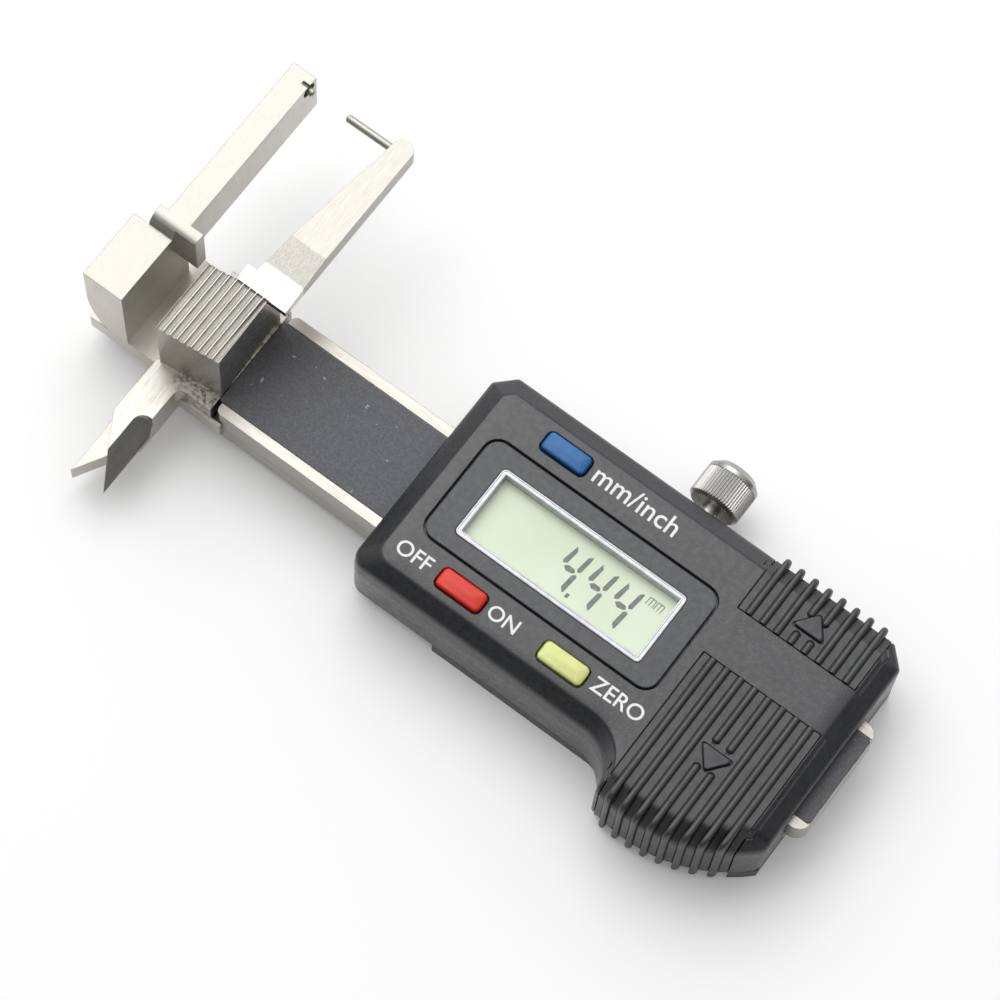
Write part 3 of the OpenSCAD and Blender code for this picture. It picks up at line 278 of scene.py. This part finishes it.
def finish(name, colour, rough, metal=0.0, gloss=1.5):
    """A new material: its node tree and its shader."""
    made = bpy.data.materials.new(name)
    made.use_nodes = True
    shader = made.node_tree.nodes["Principled BSDF"]
    shader.inputs["Base Color"].default_value = colour
    shader.inputs["Roughness"].default_value = rough
    shader.inputs["Metallic"].default_value = metal
    shader.inputs["IOR"].default_value = gloss
    return made, made.node_tree, shader


def grain(tree, size, stretch=(1, 1, 1), detail=3.0, rough=0.55):
    """Noise on the object's own coordinates, its grain size in metres."""
    place = tree.nodes.new("ShaderNodeMapping")
    place.inputs["Scale"].default_value = [s / size for s in stretch]
    tree.links.new(tree.nodes.new("ShaderNodeTexCoord").outputs["Object"], place.inputs["Vector"])
    noise = tree.nodes.new("ShaderNodeTexNoise")
    noise.inputs["Scale"].default_value = 1
    noise.inputs["Detail"].default_value = detail
    noise.inputs["Roughness"].default_value = rough
    tree.links.new(place.outputs["Vector"], noise.inputs["Vector"])
    return noise.outputs["Fac"]


def spread(tree, value, low, high, start=0.35, end=0.65):
    """A value from the noise, run from low to high."""
    out = tree.nodes.new("ShaderNodeMapRange")
    out.inputs["From Min"].default_value = start
    out.inputs["From Max"].default_value = end
    out.inputs["To Min"].default_value = low
    out.inputs["To Max"].default_value = high
    tree.links.new(value, out.inputs["Value"])
    return out.outputs["Result"]


def blend_colours(tree, fac, first, second):
    """A mix of two colours, each a tuple or an output."""
    mix = tree.nodes.new("ShaderNodeMix")
    mix.data_type = "RGBA"
    tree.links.new(fac, mix.inputs["Factor"])
    for socket, colour in ((mix.inputs["A"], first), (mix.inputs["B"], second)):
        if isinstance(colour, tuple):
            socket.default_value = colour
        else:
            tree.links.new(colour, socket)
    return mix.outputs["Result"]


def drift(tree, shader, size, first, second, start=0.35, end=0.65):
    """Let the colour wander between two close tones, in patches of a size."""
    tree.links.new(blend_colours(tree, spread(tree, grain(tree, size), 0, 1, start, end), first, second),
                   shader.inputs["Base Color"])


def relief(tree, shader, height, depth, round_edges=None):
    """Fine relief of a depth in metres, over edges rounded by a radius."""
    bump = tree.nodes.new("ShaderNodeBump")
    bump.inputs["Distance"].default_value = depth
    tree.links.new(height, bump.inputs["Height"])
    if round_edges:
        edge = tree.nodes.new("ShaderNodeBevel")
        edge.samples = 6
        edge.inputs["Radius"].default_value = round_edges
        tree.links.new(edge.outputs["Normal"], bump.inputs["Normal"])
    tree.links.new(bump.outputs["Normal"], shader.inputs["Normal"])


def coat(material, *names):
    """Give a CAD node its material."""
    for name in names:
        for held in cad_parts[name].material_slots:
            held.material = material


def moulded(name, dark, light, rough, round_edges, grooves=0.0):
    """Moulded plastic: two close tones, a fine grain, soft edges, and, when given a distance, painted shade that
    darkens its grooves and corners.
    """
    made, tree, shader = finish(name, dark, rough, gloss=1.58)
    tone = blend_colours(tree, spread(tree, grain(tree, 0.004), 0, 1), dark, light)
    if grooves:
        # painted shade: the colour goes to black where the surface is closed in within that distance
        corner = tree.nodes.new("ShaderNodeAmbientOcclusion")
        corner.samples = 8
        corner.only_local = True
        corner.inputs["Distance"].default_value = grooves
        tone = blend_colours(tree, spread(tree, corner.outputs["AO"], 1, 0, 0.45, 0.85),
                             tone, (0.002, 0.002, 0.002, 1))
    tree.links.new(tone, shader.inputs["Base Color"])
    tree.links.new(spread(tree, grain(tree, 0.0007), rough - 0.06, rough + 0.06), shader.inputs["Roughness"])
    relief(tree, shader, grain(tree, 0.00022, detail=4), 0.00002, round_edges)
    return made


# heights at which the case is drawn, closer together where its edges turn
case_levels = [2.0, 4.0, 6.0, 6.6, 7.2, 7.8, 8.3, 8.7, 9.0, 9.2, 9.4, 9.6, 9.8, 10.0, 10.3, 10.6, 10.8,
               10.95, 11.05, 11.12, 11.18, 11.22, 11.26, 11.285, case_top]
wall, past_top = 1.2, 12
front_cover = built_up("upper_case", [case_outline(z) for z in case_levels] + [case_outline(case_top, 0.4)])
hollow = built_up("hollow", [case_outline(z, wall) for z in (1.5, 7.15, 8.7, 9.5, 9.7)])
cut(hollow, block((34, 46.8), (-13, -9.8), (1, 10)))
panel_x, panel_y, panel_len, panel_w = middle_and_size("display_panel")
glass_x, glass_y, glass_len, glass_w = middle_and_size("lcd_glass")
frame_x, frame_y, frame_len, frame_w = middle_and_size("lcd_bezel")
button_at = {name: middle_and_size(name)[:2] for name in ("mm_inch_button", "power_button", "zero_button")}
# openings for the beam, the display panel with a groove round it, the glass, its frame and the buttons
panel_seat, glass_seat, panel_gap = 10.4, 10.08, 0.6
cut(front_cover, hollow, block((33, 89), (-7.3, 7.3), (1, 7.9)),
    built_up("tool", [plan(panel_x, panel_y, panel_len + panel_gap, panel_w + panel_gap, 1.9, z)
                      for z in (panel_seat, past_top)]),
    block((glass_x - glass_len / 2, glass_x + glass_len / 2), (glass_y - glass_w / 2, glass_y + glass_w / 2),
          (8, glass_seat)),
    block((frame_x - frame_len / 2, frame_x + frame_len / 2), (frame_y - frame_w / 2, frame_y + frame_w / 2),
          (8, past_top)),
    *[built_up("tool", [plan(x, y, 5.96, 2.66, 0.73, z) for z in (8.7, past_top)]) for x, y in button_at.values()])
# under each cover: its seat, the grooves of its side tongues, its open side, and the room below
opening, grooves, inner = (70.15, 85.25), (69.55, 85.85), (70.85, 84.55)
cover_seat, groove_top, room_floor = 10.2, 10.9, 8.1
cut(front_cover,
    block(opening, (-30, 1.85), (cover_seat, past_top)), block(grooves, (-30, 1.85), (cover_seat, groove_top)),
    block(opening, (-30, -11.15), (1, past_top)), block(inner, (-12.35, 1.15), (room_floor, past_top)),
    block(opening, (7.85, 20), (cover_seat, past_top)), block(grooves, (7.85, 20), (cover_seat, groove_top)),
    block(inner, (8.55, 13.35), (room_floor, past_top)), block(opening, (13.25, 20), (8.8, past_top)))
tidy(front_cover, 28)
case_plastic = moulded("case_plastic", paint(42, 43, 46), paint(47, 48, 51), 0.30, 0.00015)
back_plastic = moulded("back_plastic", paint(44, 45, 47), paint(50, 51, 53), 0.42, 0.0004)
front_cover.data.materials.append(case_plastic)
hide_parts("front_cover")
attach(front_cover, "case")
coat(back_plastic, "rear_cover")

# ---- Display panel and lettering ----
# A smooth insert in the case's face, moulded a shade bluer, with a groove round it. The words
# beside the buttons are printed in white.
panel_plastic = moulded("panel_plastic", paint(46, 48, 54), paint(50, 52, 58), 0.33, 0.0002)
coat(panel_plastic, "display_panel")

white_print, tree, shader = finish("white_print", paint(235, 235, 232), 0.5)
drift(tree, shader, 0.0004, paint(228, 229, 228), paint(244, 244, 241))
paint_lift = 0.008


def printed_word(name, letters, size, x, y):
    """A word in white paint on the case's face, its letters' size and its middle in millimetres."""
    bpy.ops.object.text_add(location=(0, 0, 0))
    word = bpy.context.object
    word.name = name
    word.data.body = letters
    word.data.size = size / 1000
    word.data.align_x, word.data.align_y = "CENTER", "CENTER"
    word.data.extrude = 0.000012
    word.data.offset = 0.00002
    word.data.resolution_u = 6
    bpy.ops.object.convert(target="MESH")
    word.location = at(x, y, case_top + paint_lift)
    bpy.ops.object.transform_apply(location=True, rotation=True, scale=True)
    word.data.materials.append(white_print)
    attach(word, "case")
    word.select_set(False)


printed_word("word_off", "OFF", 2.5, 39.85, -8.1)
printed_word("word_on", "ON", 2.4, 51.5, -8.1)
printed_word("word_zero", "ZERO", 2.5, 66.15, -7.9)
printed_word("word_units", "mm/inch", 3.15, 54.9, 10.9)

# ---- Display ----
# The liquid crystal glass looks pale green; its grey segments read 4.44, with small unit letters.
# It lies under a clear window in a silver-painted frame.
lcd_green, tree, shader = finish("lcd_green", paint(226, 235, 212), 0.35)
drift(tree, shader, 0.006, paint(224, 233, 208), paint(232, 239, 220))
coat(lcd_green, "lcd_glass")
silver_paint, tree, shader = finish("silver_paint", paint(205, 207, 211), 0.28, metal=0.35)
drift(tree, shader, 0.0009, paint(196, 198, 203), paint(214, 216, 219))
relief(tree, shader, grain(tree, 0.0003), 0.000006, 0.00012)
# the frame's section from outside to inside: how far in and how high, with a shallow groove on top
frame_top, lip_r, frame_thick, dip = case_top + 0.12, 0.12, 0.65, 0.05
quarter = [math.radians(a) for a in range(0, 91, 18)]
rim = [(0, glass_seat)] + [(lip_r - lip_r * math.cos(a), frame_top - lip_r + lip_r * math.sin(a)) for a in quarter]
rim += [(0.17, frame_top), (0.23, frame_top - dip), (0.42, frame_top - dip), (0.48, frame_top), (0.53, frame_top)]
rim += [(0.53 + lip_r * math.sin(a), frame_top - lip_r + lip_r * math.cos(a)) for a in quarter[1:]]
rim += [(frame_thick, glass_seat), (0, glass_seat)]
loops = [plan(frame_x, frame_y, frame_len, frame_w, 0.6, z, inwards) for inwards, z in rim]
bpy.ops.mesh.primitive_circle_add(vertices=len(loops[0]), radius=0.01)
bezel = bpy.context.object
bezel.name = "display_frame"
for point, place in zip(bezel.data.vertices, loops[0]):
    point.co = place
for loop in loops[1:]:
    bpy.ops.object.mode_set(mode="EDIT")
    bpy.ops.mesh.extrude_edges_indiv()
    bpy.ops.object.mode_set(mode="OBJECT")
    for point, place in zip([point for point in bezel.data.vertices if point.select], loop):
        point.co = place
tidy(bezel, 35)
bezel.data.materials.append(silver_paint)
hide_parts("lcd_bezel")
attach(bezel, "case")

clear_window = bpy.data.materials.new("clear_window")
clear_window.use_nodes = True
tree = clear_window.node_tree
tree.nodes.clear()
through = tree.nodes.new("ShaderNodeBsdfTransparent")
through.inputs["Color"].default_value = (0.97, 0.98, 0.97, 1)
shine = tree.nodes.new("ShaderNodeBsdfGlossy")
shine.inputs["Roughness"].default_value = 0.08
fresnel = tree.nodes.new("ShaderNodeFresnel")
fresnel.inputs["IOR"].default_value = 1.3
pane = tree.nodes.new("ShaderNodeMixShader")
tree.links.new(fresnel.outputs[0], pane.inputs["Fac"])
tree.links.new(through.outputs[0], pane.inputs[1])
tree.links.new(shine.outputs[0], pane.inputs[2])
# only the outer face mirrors, or the display would go dark from a low angle
outer_only = tree.nodes.new("ShaderNodeMixShader")
tree.links.new(tree.nodes.new("ShaderNodeNewGeometry").outputs["Backfacing"], outer_only.inputs["Fac"])
tree.links.new(pane.outputs[0], outer_only.inputs[1])
tree.links.new(through.outputs[0], outer_only.inputs[2])
tree.links.new(outer_only.outputs[0], tree.nodes.new("ShaderNodeOutputMaterial").inputs["Surface"])
coat(clear_window, "display_window")

segment_grey, tree, shader = finish("segment_grey", paint(118, 120, 118), 0.5)
drift(tree, shader, 0.0006, paint(112, 114, 112), paint(128, 130, 127))
glass_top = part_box("lcd_glass")[1].z * 1000


def lit_shape(name, outlines):
    """Thin flat shapes on the glass, as one piece, each outline given in millimetres."""
    mesh = bpy.data.meshes.new(name)
    corners, faces = [], []
    for outline in outlines:
        outline = list(outline)
        area = sum(a[0] * b[1] - b[0] * a[1] for a, b in zip(outline, outline[1:] + outline[:1]))
        if area < 0:
            outline.reverse()
        start, count = len(corners), len(outline)
        corners += [at(x, y, glass_top) for x, y in outline]
        faces.append(tuple(range(start, start + count)))
    mesh.from_pydata(corners, [], faces)
    shape = bpy.data.objects.new(name, mesh)
    bpy.context.collection.objects.link(shape)
    bpy.context.view_layer.objects.active = shape
    thick = shape.modifiers.new("thick", "SOLIDIFY")
    thick.thickness = 0.00002
    thick.offset = 1
    bpy.ops.object.modifier_apply(modifier=thick.name)
    tidy(shape)
    mesh.materials.append(segment_grey)
    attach(shape, "case")


# the four bars of a 4: upper left, middle, upper right and lower right
four = (((59.40, 3.55), (58.95, 1.48), (59.14, 1.18), (59.55, 1.42), (59.74, 3.05)),
        ((59.43, 0.97), (59.80, 1.30), (60.62, 1.27), (60.84, 0.93), (60.52, 0.70), (59.87, 0.61)),
        ((61.51, 3.54), (61.05, 3.17), (60.81, 1.45), (61.01, 1.17), (61.35, 1.36), (61.53, 2.97)),
        ((61.30, 0.66), (61.05, 0.83), (60.73, 0.57), (60.55, -1.10), (60.98, -1.60), (61.10, -1.42)))
digit_pitch = 3.32
for name, back in (("digit_ones", 2), ("digit_tenths", 1), ("digit_hundredths", 0)):
    lit_shape(name, [[(x - back * digit_pitch, y) for x, y in bar] for bar in four])
lit_shape("decimal_point", [[(54.84, -1.32), (55.22, -1.27), (55.18, -1.80), (54.80, -1.84)]])
strokes = []
foot_y, leg_top, arch_top, leg_w, lean = 2.74, 3.60, 3.70, 0.10, 0.08
for left in (62.02, 63.06):
    for leg in (left, left + 0.40, left + 0.80):
        strokes.append([(leg, foot_y), (leg + leg_w, foot_y), (leg + leg_w + lean, leg_top), (leg + lean, leg_top)])
    strokes.append([(left + 0.08, leg_top), (left + 0.98, leg_top), (left + 0.90, arch_top),
                    (left + 0.14, arch_top)])
lit_shape("unit_letters", strokes)

# ---- Buttons ----
# Three caps in soft-touch plastic, blue, red and yellow-green, in tight openings. Each stands on
# a flange under the face, and its top is a little domed with soft edges.
flange, flange_h, cap_plan = (6.2, 2.9, 0.85), 0.3, (5.6, 2.3, 0.55)
edge_r, end_drop = 0.36, 0.0004
for name, node, slot, body, dark, light in (
        ("blue_cap", "mm_inch_button", "blue_button", "mm_inch", paint(38, 100, 158), paint(48, 112, 170)),
        ("red_cap", "power_button", "red_button", "power", paint(214, 50, 36), paint(224, 62, 46)),
        ("yellow_cap", "zero_button", "yellow_button", "zero", paint(218, 226, 146), paint(226, 232, 158))):
    x, y = button_at[node]
    low, high = (corner.z * 1000 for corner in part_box(node))
    sides = [(0, low + flange_h)] + [(edge_r - edge_r * math.cos(math.radians(a)),
                                      high - 0.43 + edge_r * math.sin(math.radians(a))) for a in range(0, 85, 12)]
    crown = [(0.5, high - 0.055), (0.7, high - 0.03), (0.9, high - 0.015), (1.1, high - 0.01)]
    rings = [plan(x, y, *flange, z) for z in (low, low + flange_h)]
    rings += [plan(x, y, *cap_plan, z, inwards) for inwards, z in sides + crown]
    for ring in rings[4:]:
        for place in ring:
            place.z -= end_drop * ((place.x - at(x, 0, 0).x) / 0.0028) ** 2
    cap = built_up(name, rings)
    finish_of_cap, tree, shader = finish(name, dark, 0.48)
    drift(tree, shader, 0.0012, dark, light)
    relief(tree, shader, grain(tree, 0.0002), 0.00001)
    cap.data.materials.append(finish_of_cap)
    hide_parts(node)
    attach(cap, body)

# ---- Ribbed covers ----
# The battery cover slides off the bulge, the data port cover off the far side. Both are moulded
# with eight ribs that run on as fins where the case slopes; the middle two make room for an arrow.
rib_count, rib_r, rib_h, rib_pitch = 8, 0.37, 0.3, 1.77
line_near, line_far, line_deep = 0.375, 0.48, 0.12
cover_front, cover_rear, cover_play = 70.25, 85.15, 0.04
cover_mid = (cover_front + cover_rear) / 2
arrow_half, arrow_long, arrow_middle, arrow_r = 2.05, 2.6, 0.994, 0.28


def walk(line, s):
    """The place that lies s along a line of points."""
    for a, b in zip(line, line[1:]):
        length = (b - a).length
        if s <= length or b is line[-1]:
            return a + (b - a) * s / length
        s -= length


def stepped(line, spots, level):
    """Places along a line: one for each spot up to a level stretch's end, the rest shared out."""
    rest = sum((b - a).length for a, b in zip(line, line[1:])) - level
    return [walk(line, s if s < level else level + rest * (s - level) / (spots[-1] - level)) for s in spots]


def ribbed_skin(name, land_at, crest_at, spots, level, way, stands, stands_apart, under=0.75):
    """A closed cover whose surface and whose ribs follow two lines of (y, z), found for each line
    across. The ribs stand on stretches of the spots along those lines, the middle two on others."""
    # places across half a rib and the fine line beside it
    half_rib = [0, 0.13, 0.23, 0.31, 0.35, rib_r, 0.385, 0.47, 0.49]
    offsets = [-off for off in reversed(half_rib[1:])] + half_rib
    strips = [(cover_front + cover_play, 0, 0.8)]
    for rib in range(rib_count):
        strips += [(cover_mid + (rib - 3.5) * rib_pitch + off, rib, abs(off)) for off in offsets]
    strips.append((cover_rear - cover_play, 7, 0.8))
    bpy.ops.mesh.primitive_grid_add(x_subdivisions=len(strips) - 1, y_subdivisions=len(spots) - 1, size=1)
    skin = bpy.context.object
    skin.name = name
    lands = [stepped(land_at(x), spots, level) for x, rib, off in strips]
    crests = [stepped(crest_at(x), spots, level) for x, rib, off in strips]
    over, below = [], []
    for point in skin.data.vertices:
        column = round((point.co.x + 0.5) * (len(strips) - 1))
        row = round((point.co.y + 0.5) * (len(spots) - 1))
        x, rib, off = strips[column]
        surface = []
        for line in (lands[column], crests[column] if off <= rib_r else lands[column]):
            run = (line[min(row + 1, len(line) - 1)] - line[max(row - 1, 0)]).normalized()
            surface.append((line[row], way * Vector((-run.y, run.x))))
        (land, land_out), (place, out) = surface
        # how far this point is from the middle line of its rib, or past the rib's round end
        beyond = min(max(0, start + rib_r - spots[row], spots[row] - end + rib_r)
                     for start, end in (stands_apart if rib in (3, 4) else stands))
        reach = math.hypot(off, beyond)
        rise = 0
        if reach < rib_r:
            rise = rib_h * math.sqrt(1 - (reach / rib_r) ** 2)
        elif line_near < reach < line_far:
            rise = -line_deep
        over.append(at(x, *(place + out * rise)))
        inner = land - land_out * under
        if place.y < land.y and place.y < inner.y:
            inner = place - out * under
        below.append(at(x, *inner))
    wall = skin.modifiers.new("wall", "SOLIDIFY")
    wall.thickness = 0.0005
    bpy.ops.object.modifier_apply(modifier=wall.name)
    for point, place in zip(skin.data.vertices, over + below):
        point.co = place
    skin.select_set(False)
    return skin


def arrow_plan(base, way, z, grow):
    """A triangle with soft corners, its wide end at a place, made larger or smaller all round."""
    middle = Vector((cover_mid, base + way * arrow_middle))
    corners = [Vector((cover_mid - arrow_half * way, base)), Vector((cover_mid + arrow_half * way, base)),
               Vector((cover_mid, base + way * arrow_long))]
    grown = [middle + (corner - middle) * (arrow_middle + grow) / arrow_middle for corner in corners]
    return [at(p.x, p.y, z) for p in rounded([(c.x, c.y, arrow_r) for c in grown])]


def finished_cover(cover, base, way, tongue_y, node, body):
    """Sink a fine line round the cover's arrow, add the side tongues, and set the arrow in place."""
    cut(cover, built_up("tool", [arrow_plan(base, way, z, 0.1) for z in (case_top - 0.25, case_top + 1)]))
    for x in (cover_front, cover_rear):
        tongue = block((x - 0.6, x + 0.6), tongue_y, (10.35, 10.8))
        case_form = built_up("tool", [case_outline(z, 0.03) for z in (10.2, 10.4, 10.6, 10.9, 11)])
        cut(tongue, case_form, way="INTERSECT")
        tidy(tongue)
        cover.select_set(True)
        tongue.select_set(True)
        bpy.context.view_layer.objects.active = cover
        bpy.ops.object.join()
        cover.select_set(False)
    tidy(cover, 38)
    arrow = built_up(cover.name + "_arrow", [
        arrow_plan(base, way, case_top + z, -shrink)
        for z, shrink in ((-0.3, 0), (0.2, 0), (0.27, 0.03), (0.32, 0.09), (0.34, 0.16), (0.34, 0.2))])
    for piece in (cover, arrow):
        piece.data.materials.append(cover_plastic if piece is cover else arrow_plastic)
        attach(piece, body)
    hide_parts(node)


def on_bulge(x, radius):
    """Near side of a circle round the bulge's middle, on a line across."""
    return bulge_y - math.sqrt(radius ** 2 - (x - bulge_x) ** 2)


# the cover plastic carries painted shade in the grooves beside its ribs and round its arrows
cover_plastic = moulded("cover_plastic", paint(50, 51, 53), paint(58, 59, 61), 0.42, 0.00005, grooves=0.0003)
arrow_plastic = moulded("arrow_plastic", paint(27, 29, 34), paint(32, 34, 39), 0.34, 0.00008)
# rows of points along each cover, close together at the ends of the ribs beside the arrow
battery_spots = ([0, 1.5, 3, 4.5, 6] + [6.4 + 0.07 * i for i in range(14)] + [8, 9.4]
                 + [9.8 + 0.07 * i for i in range(14)] + [11 + 0.2 * i for i in range(51)])
port_spots = ([0, 0.6] + [0.9 + 0.07 * i for i in range(12)] + [2.4, 3.2]
              + [3.4 + 0.07 * i for i in range(12)] + [4.5 + 0.15 * i for i in range(31)])
battery_cover = ribbed_skin(
    "battery_cover_skin",
    lambda x: rounded([(1.75, case_top, 0), (on_bulge(x, 16.8), case_top, 0.7), (on_bulge(x, 18.88), 8.8, 1.0),
                       (on_bulge(x, 19.04), 2.1, 0)]),
    lambda x: rounded([(1.75, case_top, 0), (on_bulge(x, 18.95), case_top, 0.9), (on_bulge(x, 19.15), 0.5, 0)]),
    battery_spots, 11, -1, [(-5, 21.1)], [(-5, 7.25), (10.15, 21.1)])
port_cover = ribbed_skin(
    "port_cover_skin",
    lambda x: rounded([(7.95, case_top, 0), (12.95, case_top, 0.7), (15.2, 9.54, 0.4), (15.2, 8.9, 0)]),
    lambda x: rounded([(7.95, case_top, 0), (15.45, case_top, 0.9), (15.45, 9.75, 0.15), (15.2, 9.55, 0.1),
                       (15.2, 8.9, 0)]),
    port_spots, 4.5, 1, [(-5, 8.3)], [(-5, 1.525), (3.675, 8.3)])
finished_cover(battery_cover, -6.1, -1, (-17, 1.15), "battery_cover", "battery_door")
finished_cover(port_cover, 9.9, 1, (8.55, 16), "data_port_cover", "port_door")

# ---- Beam, plates, thumb blocks, arms and pins ----
# Hardened stainless steel, ground on its flat faces: fine straight scratches and a warm white
# sheen under the lamp.


def ground_steel(name, colour, rough, along, depth=0.000003, round_edges=0.00012):
    """Steel ground in one direction, its scratches long along that axis."""
    stretch = tuple(0.04 if axis == along else 1 for axis in "xyz")
    made, tree, shader = finish(name, colour, rough, metal=1.0)
    dark = tuple(c * 0.92 for c in colour[:3]) + (1,)
    scratches = grain(tree, 0.00009, stretch, detail=4)
    drift(tree, shader, 0.005, dark, colour)
    tree.links.new(spread(tree, scratches, rough - 0.07, rough + 0.08), shader.inputs["Roughness"])
    relief(tree, shader, scratches, depth, round_edges)
    return made


def position(tree, measured):
    """The three parts of a place on the piece, or of the way its surface looks."""
    parts = tree.nodes.new("ShaderNodeSeparateXYZ")
    tree.links.new(tree.nodes.new("ShaderNodeTexCoord").outputs[measured], parts.inputs[0])
    return parts.outputs


def tint(steel, where, colour):
    """Lay a colour over the steel's own, as far as a value says."""
    tree = steel.node_tree
    base = tree.nodes["Principled BSDF"].inputs["Base Color"]
    tree.links.new(blend_colours(tree, where, base.links[0].from_socket, colour), base)


def painted_shade(steel, way, from_value, to_value, colour, measured="Normal"):
    """Painted shade: a darker colour on the faces that look one way, or on the steel past a place."""
    tree = steel.node_tree
    tint(steel, spread(tree, position(tree, measured)[way], 0, 1, from_value, to_value), colour)


steel_along = ground_steel("steel_along", (0.44, 0.42, 0.385, 1), 0.36, "x")
coat(steel_along, "beam", "guide_plate", "slide_frame", "plate_rivets", "foot_rivets", "stop_pin")
steel_across = ground_steel("steel_across", (0.58, 0.56, 0.51, 1), 0.38, "y")
# painted shade: the upward faces get a darker colour, which holds the lamp's sheen down
painted_shade(steel_across, "Z", 0.8, 0.95, (0.45, 0.43, 0.39, 1))
coat(steel_across, "fixed_jaw_plate")
block_steel = ground_steel("block_steel", (0.60, 0.58, 0.53, 1), 0.42, "z")
# painted shade: the upward faces get a darker colour, which holds the lamp's sheen down
painted_shade(block_steel, "Z", 0.8, 0.95, (0.43, 0.415, 0.375, 1))
coat(block_steel, "fixed_thumb_block", "fixed_pin", "moving_pin")
ridged_steel = ground_steel("ridged_steel", (0.66, 0.64, 0.60, 1), 0.26, "y", 0.000008, 0.00005)
# painted shade: the faces that look towards the near side get a darker colour
painted_shade(ridged_steel, "Y", -0.4, -0.9, (0.33, 0.32, 0.29, 1))
# painted shade: the arm behind the ridged block gets a darker colour, so its top does not go white under the lamp
arm_from, arm_whole = 0.0036, 0.0040
painted_shade(ridged_steel, "Y", arm_from, arm_whole, (0.33, 0.318, 0.288, 1), "Object")
coat(ridged_steel, "moving_thumb_block")

# the foot is brazed to the ridged block; beside the joint it carries painted shade, dark patches that grow towards
# the block
foot_steel = ground_steel("foot_steel", (0.54, 0.52, 0.475, 1), 0.38, "y")
# painted shade: the upward faces get a darker colour, which holds the lamp's sheen down
painted_shade(foot_steel, "Z", 0.8, 0.95, (0.48, 0.46, 0.42, 1))
tree = foot_steel.node_tree
place = position(tree, "Object")
painted_shade_spots = spread(tree, grain(tree, 0.0005, detail=6, rough=0.7), 0, 1, 0.45, 0.62)
for way, shade_starts, shade_full in (("Y", at(0, -8.0, 0).y, at(0, -6.6, 0).y), ("X", at(6.0, 0, 0).x, at(7.0, 0, 0).x)):
    painted_shade_spots = sum_of(tree, "MULTIPLY", painted_shade_spots, spread(tree, place[way], 0, 1, shade_starts, shade_full))
tint(foot_steel, painted_shade_spots, (0.11, 0.095, 0.07, 1))
coat(foot_steel, "moving_blade_plate")

# ---- Scale label ----
# A dark matt film with the sensor's pattern hidden under it, finely speckled, laid in the beam's
# recess with a thin dark gap at the rails. In front it laps over the slit at the block's foot.
label_film, tree, shader = finish("label_film", paint(80, 81, 86), 0.5)
speckle = spread(tree, grain(tree, 0.00022, detail=2), 0, 1, 0.42, 0.62)
flecks = spread(tree, grain(tree, 0.0011, detail=3), 0, 1, 0.70, 0.72)
tone = blend_colours(tree, speckle, paint(72, 73, 78), paint(88, 89, 94))
tree.links.new(blend_colours(tree, flecks, tone, paint(150, 150, 152)), shader.inputs["Base Color"])
relief(tree, shader, grain(tree, 0.0002), 0.00001)
label_x, label_y, label_len, label_w = middle_and_size("scale_label")
label_low, label_high = (corner.z * 1000 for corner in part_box("scale_label"))
lap, rail_gap, film_edge = 0.58, 0.1, 0.03
film = built_up("label_film", [
    plan(label_x - lap / 2, label_y, label_len + lap, label_w - rail_gap, 0.3, z, inwards)
    for z, inwards in ((label_low, 0), (label_high - film_edge, 0), (label_high, film_edge))])
film.data.materials.append(label_film)
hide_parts("scale_label")
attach(film, "sliding_beam")

# ---- Lock screw ----
# A knurled steel knob on a plain shank, turned by hand to clamp the beam. The small screws and
# the switches' domes are of the same plain steel.
knob_steel = ground_steel("knob_steel", (0.42, 0.41, 0.39, 1), 0.34, "y")
coat(knob_steel, "lock_screw", "case_screws", "gib_screws", "button_switches")

# ---- Inside the case ----
# The brass bush and gib strip, the circuit board with its switches and rubber connectors, the
# battery tray with the coin cell and its two spring contacts, and the data port.
brass, tree, shader = finish("brass", (0.70, 0.50, 0.20, 1), 0.3, metal=1.0)
drift(tree, shader, 0.001, (0.64, 0.45, 0.18, 1), (0.76, 0.56, 0.24, 1))
coat(brass, "lock_bush", "gib_strip", "contact_minus", "contact_plus")
board_lacquer, tree, shader = finish("board_lacquer", paint(24, 88, 52), 0.3)
drift(tree, shader, 0.0008, paint(20, 80, 46), paint(34, 104, 62), 0.47, 0.53)
coat(board_lacquer, "circuit_board")
pink_rubber, tree, shader = finish("pink_rubber", paint(216, 120, 140), 0.6)
drift(tree, shader, 0.0005, paint(208, 110, 130), paint(224, 130, 148))
coat(pink_rubber, "lcd_connectors")
tray_plastic = moulded("tray_plastic", paint(186, 186, 180), paint(200, 200, 194), 0.5, 0.0001)
coat(tray_plastic, "battery_tray")
cell_steel = ground_steel("cell_steel", (0.68, 0.68, 0.67, 1), 0.25, "x")
coat(cell_steel, "coin_cell")
port_plastic = moulded("port_plastic", paint(26, 26, 28), paint(34, 34, 36), 0.5, 0.0001)
coat(port_plastic, "data_port")
